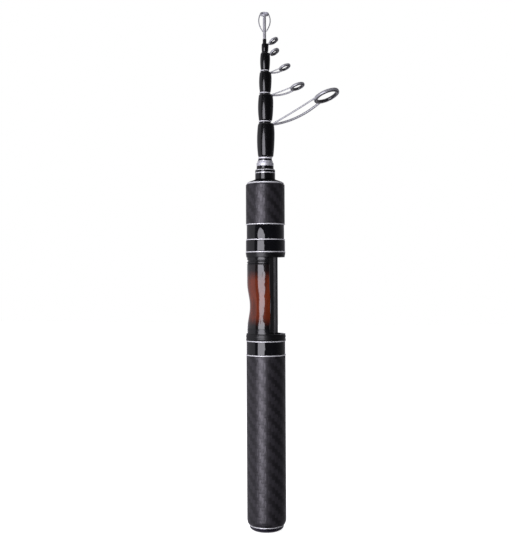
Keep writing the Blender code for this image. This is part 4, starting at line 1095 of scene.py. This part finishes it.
for side in (-1.0, 1.0):
    start = Vector((0.0, side * (TIP_TUBE_RADIUS + TIP_LEG_OUT), tube_top - TIP_LEG_DROP))
    bulge = Vector((TIP_BULGE_X, side * TIP_LEG_SPREAD, tube_top - TIP_BULGE_DROP))
    end = Vector((TIP_RING_REACH, side * ring_line, middle.z))
    points = [turn @ start.lerp(bulge, share).lerp(bulge.lerp(end, share), share) for share in LEG_SHARES]
    shape = combined(shape, wire(points, [TIP_LEG] * len(points)), "UNION")
web_x = TIP_RING_REACH - ring_line * cos(TIP_TILT)
web_end = Vector((web_x, 0.0, middle.z - ring_line * sin(TIP_TILT)))
web = [turn @ Vector((TIP_WEB_X, 0.0, tube_top - TIP_WEB_DROP)), turn @ web_end]
shape = combined(shape, wire(web, [TIP_LEG, TIP_LEG]), "UNION")
fitted("tip_guide_steel", shape, GUIDE_STEEL, "polished_steel", "section_1", "tip_guide_frame")

shape = round_ring(seat - INSERT_OVERLAP, hole, TIP_INSERT_BAND, place)
fitted("tip_guide_insert", shape, PALE_CERAMIC, "ring_ceramic", "section_1", "tip_guide_ring")


# Butt cap
# A domed black cap closes the butt. Its threaded plug screws into the bush in the grip and
# carries the pad that the nested tubes stand on.
CAP_THREAD_PITCH = 3.0 * mm
CAP_THREAD_DEPTH = 0.75 * mm
CAP_THREAD_TURNS = 2.5
CAP_NECK_RADIUS = 7.2 * mm
CAP_FACE_RADIUS = 6.5 * mm
CAP_GAP = 0.2 * mm
CAP_CHAMFER = 0.5 * mm
CAP_EDGE = 0.15 * mm
CAP_RIM = 0.4 * mm

low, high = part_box("butt_cap")
cap_top = ends("butt_trim_ring")[0] - CAP_GAP
thread_high = high.z - CAP_THREAD_DEPTH
thread_low = thread_high - CAP_THREAD_TURNS * CAP_THREAD_PITCH
outline = [(0.0, high.z), (CAP_NECK_RADIUS - CAP_CHAMFER, high.z)]
outline += thread_line(CAP_NECK_RADIUS, thread_low, thread_high, CAP_THREAD_PITCH)
cap_radius = high.x + BUTT_RING_PROUD
outline += [(CAP_NECK_RADIUS, cap_top), (cap_radius - CAP_EDGE, cap_top), (cap_radius, cap_top - CAP_EDGE)]
for angle in quarter_turn():
    outline.append((CAP_FACE_RADIUS + (cap_radius - CAP_FACE_RADIUS) * cos(angle),
                    (cap_top - CAP_RIM) * (1.0 - sin(angle))))
outline.append((0.0, 0.0))
shape = spun(outline, closed=False)
raise_thread(shape, CAP_NECK_RADIUS, thread_low, thread_high, CAP_THREAD_PITCH, CAP_THREAD_DEPTH)
CAP_BLACK = moulded_black("cap_black", (0.004, 0.0035, 0.007), 0.2)
tree = CAP_BLACK.node_tree
fill(tree, tree.nodes["Principled BSDF"], {"Specular Tint": (0.85, 0.75, 1.0, 1.0)})
fitted("domed_cap", shape, CAP_BLACK, "black_plastic", "cap", "butt_cap")


# Studio
# A tall oval panel stands left of the camera and makes the long highlight; a weak one hangs
# overhead. The surroundings are white behind the rod and dark in front of it.
COOL_WHITE = (0.93, 0.915, 1.0)
KEY_BEARING = radians(-28.0)
KEY_DISTANCE = 0.9
KEY_HEIGHT = 0.12
KEY_SIZE = (0.68, 0.96)
KEY_RADIANCE = 6.5
OVERHEAD_HEIGHT = 1.4
OVERHEAD_SIZE = 0.8
OVERHEAD_POWER = 2.0


def hang_panel(name, shape, width, height, power, place):
    """Hang a lamp that lights the rod but isn't seen by the camera."""
    lamp = placed(name, bpy.data.lights.new(name, "AREA"))
    lamp.data.shape = shape
    lamp.data.size = width
    lamp.data.size_y = height
    lamp.data.energy = power
    lamp.matrix_world = place
    lamp.visible_camera = False
    return lamp


outward = towards_camera * cos(KEY_BEARING) + screen_right * sin(KEY_BEARING)
level = Vector((0.0, 0.0, 1.0))
facing = Matrix((level.cross(outward), level, outward)).transposed().to_4x4()
place = Matrix.Translation(outward * KEY_DISTANCE + level * KEY_HEIGHT) @ facing
# Its power is radiance times pi times the oval's area
key_power = KEY_RADIANCE * pi * 0.25 * pi * KEY_SIZE[0] * KEY_SIZE[1]
key = hang_panel("key_panel", "ELLIPSE", *KEY_SIZE, key_power, place)
key.data.color = COOL_WHITE
hang_panel("overhead_panel", "SQUARE", OVERHEAD_SIZE, OVERHEAD_SIZE, OVERHEAD_POWER,
           Matrix.Translation(level * OVERHEAD_HEIGHT))

# Share of white that a reflection shows, by its bearing from the camera to the right
SURROUNDINGS = ((-180.0, 0.9), (-158.0, 0.42), (-126.0, 0.4), (-103.0, 0.6), (-72.0, 0.7), (-66.0, 0.06),
                (0.0, 0.045), (60.0, 0.045), (90.0, 0.13), (128.0, 0.27), (155.0, 0.36), (180.0, 0.9))
world = bpy.data.worlds.new("studio")
world.use_nodes = True
bpy.context.scene.world = world
tree = world.node_tree
rays = add_node(tree, "LightPath").outputs
direction = add_node(tree, "TexCoord").outputs["Generated"]
ahead, aside = [add_node(tree, "VectorMath", {0: direction, 1: tuple(axis)}, operation="DOT_PRODUCT")
                .outputs["Value"] for axis in (towards_camera, screen_right)]
bearing = reckon(tree, "ARCTAN2", aside, ahead)
stops = [(degrees / 360.0 + 0.5, [share * tone for tone in COOL_WHITE]) for degrees, share in SURROUNDINGS]
mirrored = colour_ramp(tree, between(tree, bearing, -pi, pi, 0.0, 1.0), stops)
seen = reckon(tree, "MAXIMUM", rays["Is Camera Ray"], rays["Is Transmission Ray"])
backdrop = mixed_colour(tree, seen, mirrored, (1.0, 1.0, 1.0, 1.0))
fill(tree, tree.nodes["Background"], {"Color": backdrop})


# Floor
# A plain white sheet under the butt. The camera sees it as white paper that keeps the rod's
# soft shadow; reflections show the white backdrop in its place.
FLOOR_HALF_WIDTH = 3.0
PAPER_GLOW = 0.94

sheet = bmesh.new()
bmesh.ops.create_grid(sheet, x_segments=1, y_segments=1, size=FLOOR_HALF_WIDTH)
floor = placed("floor", bpy.data.meshes.new("floor"))
sheet.to_mesh(floor.data)
sheet.free()
paper = bpy.data.materials.new("paper")
paper.use_nodes = True
tree = paper.node_tree
tree.nodes.clear()
diffuse = add_node(tree, "BsdfDiffuse", {"Color": (0.8, 0.8, 0.8, 1.0)})
glow = add_node(tree, "Emission", {"Color": (1.0, 1.0, 1.0, 1.0), "Strength": PAPER_GLOW})
lit = add_node(tree, "AddShader", {0: diffuse.outputs[0], 1: glow.outputs[0]})
seen = add_node(tree, "LightPath").outputs["Is Camera Ray"]
choice = add_node(tree, "MixShader", {0: seen, 1: diffuse.outputs[0], 2: lit.outputs[0]})
add_node(tree, "OutputMaterial", {"Surface": choice.outputs[0]})
floor.data.materials.append(paper)
floor.visible_glossy = False
floor.visible_shadow = False

bpy.context.scene.view_settings.view_transform = "Standard"
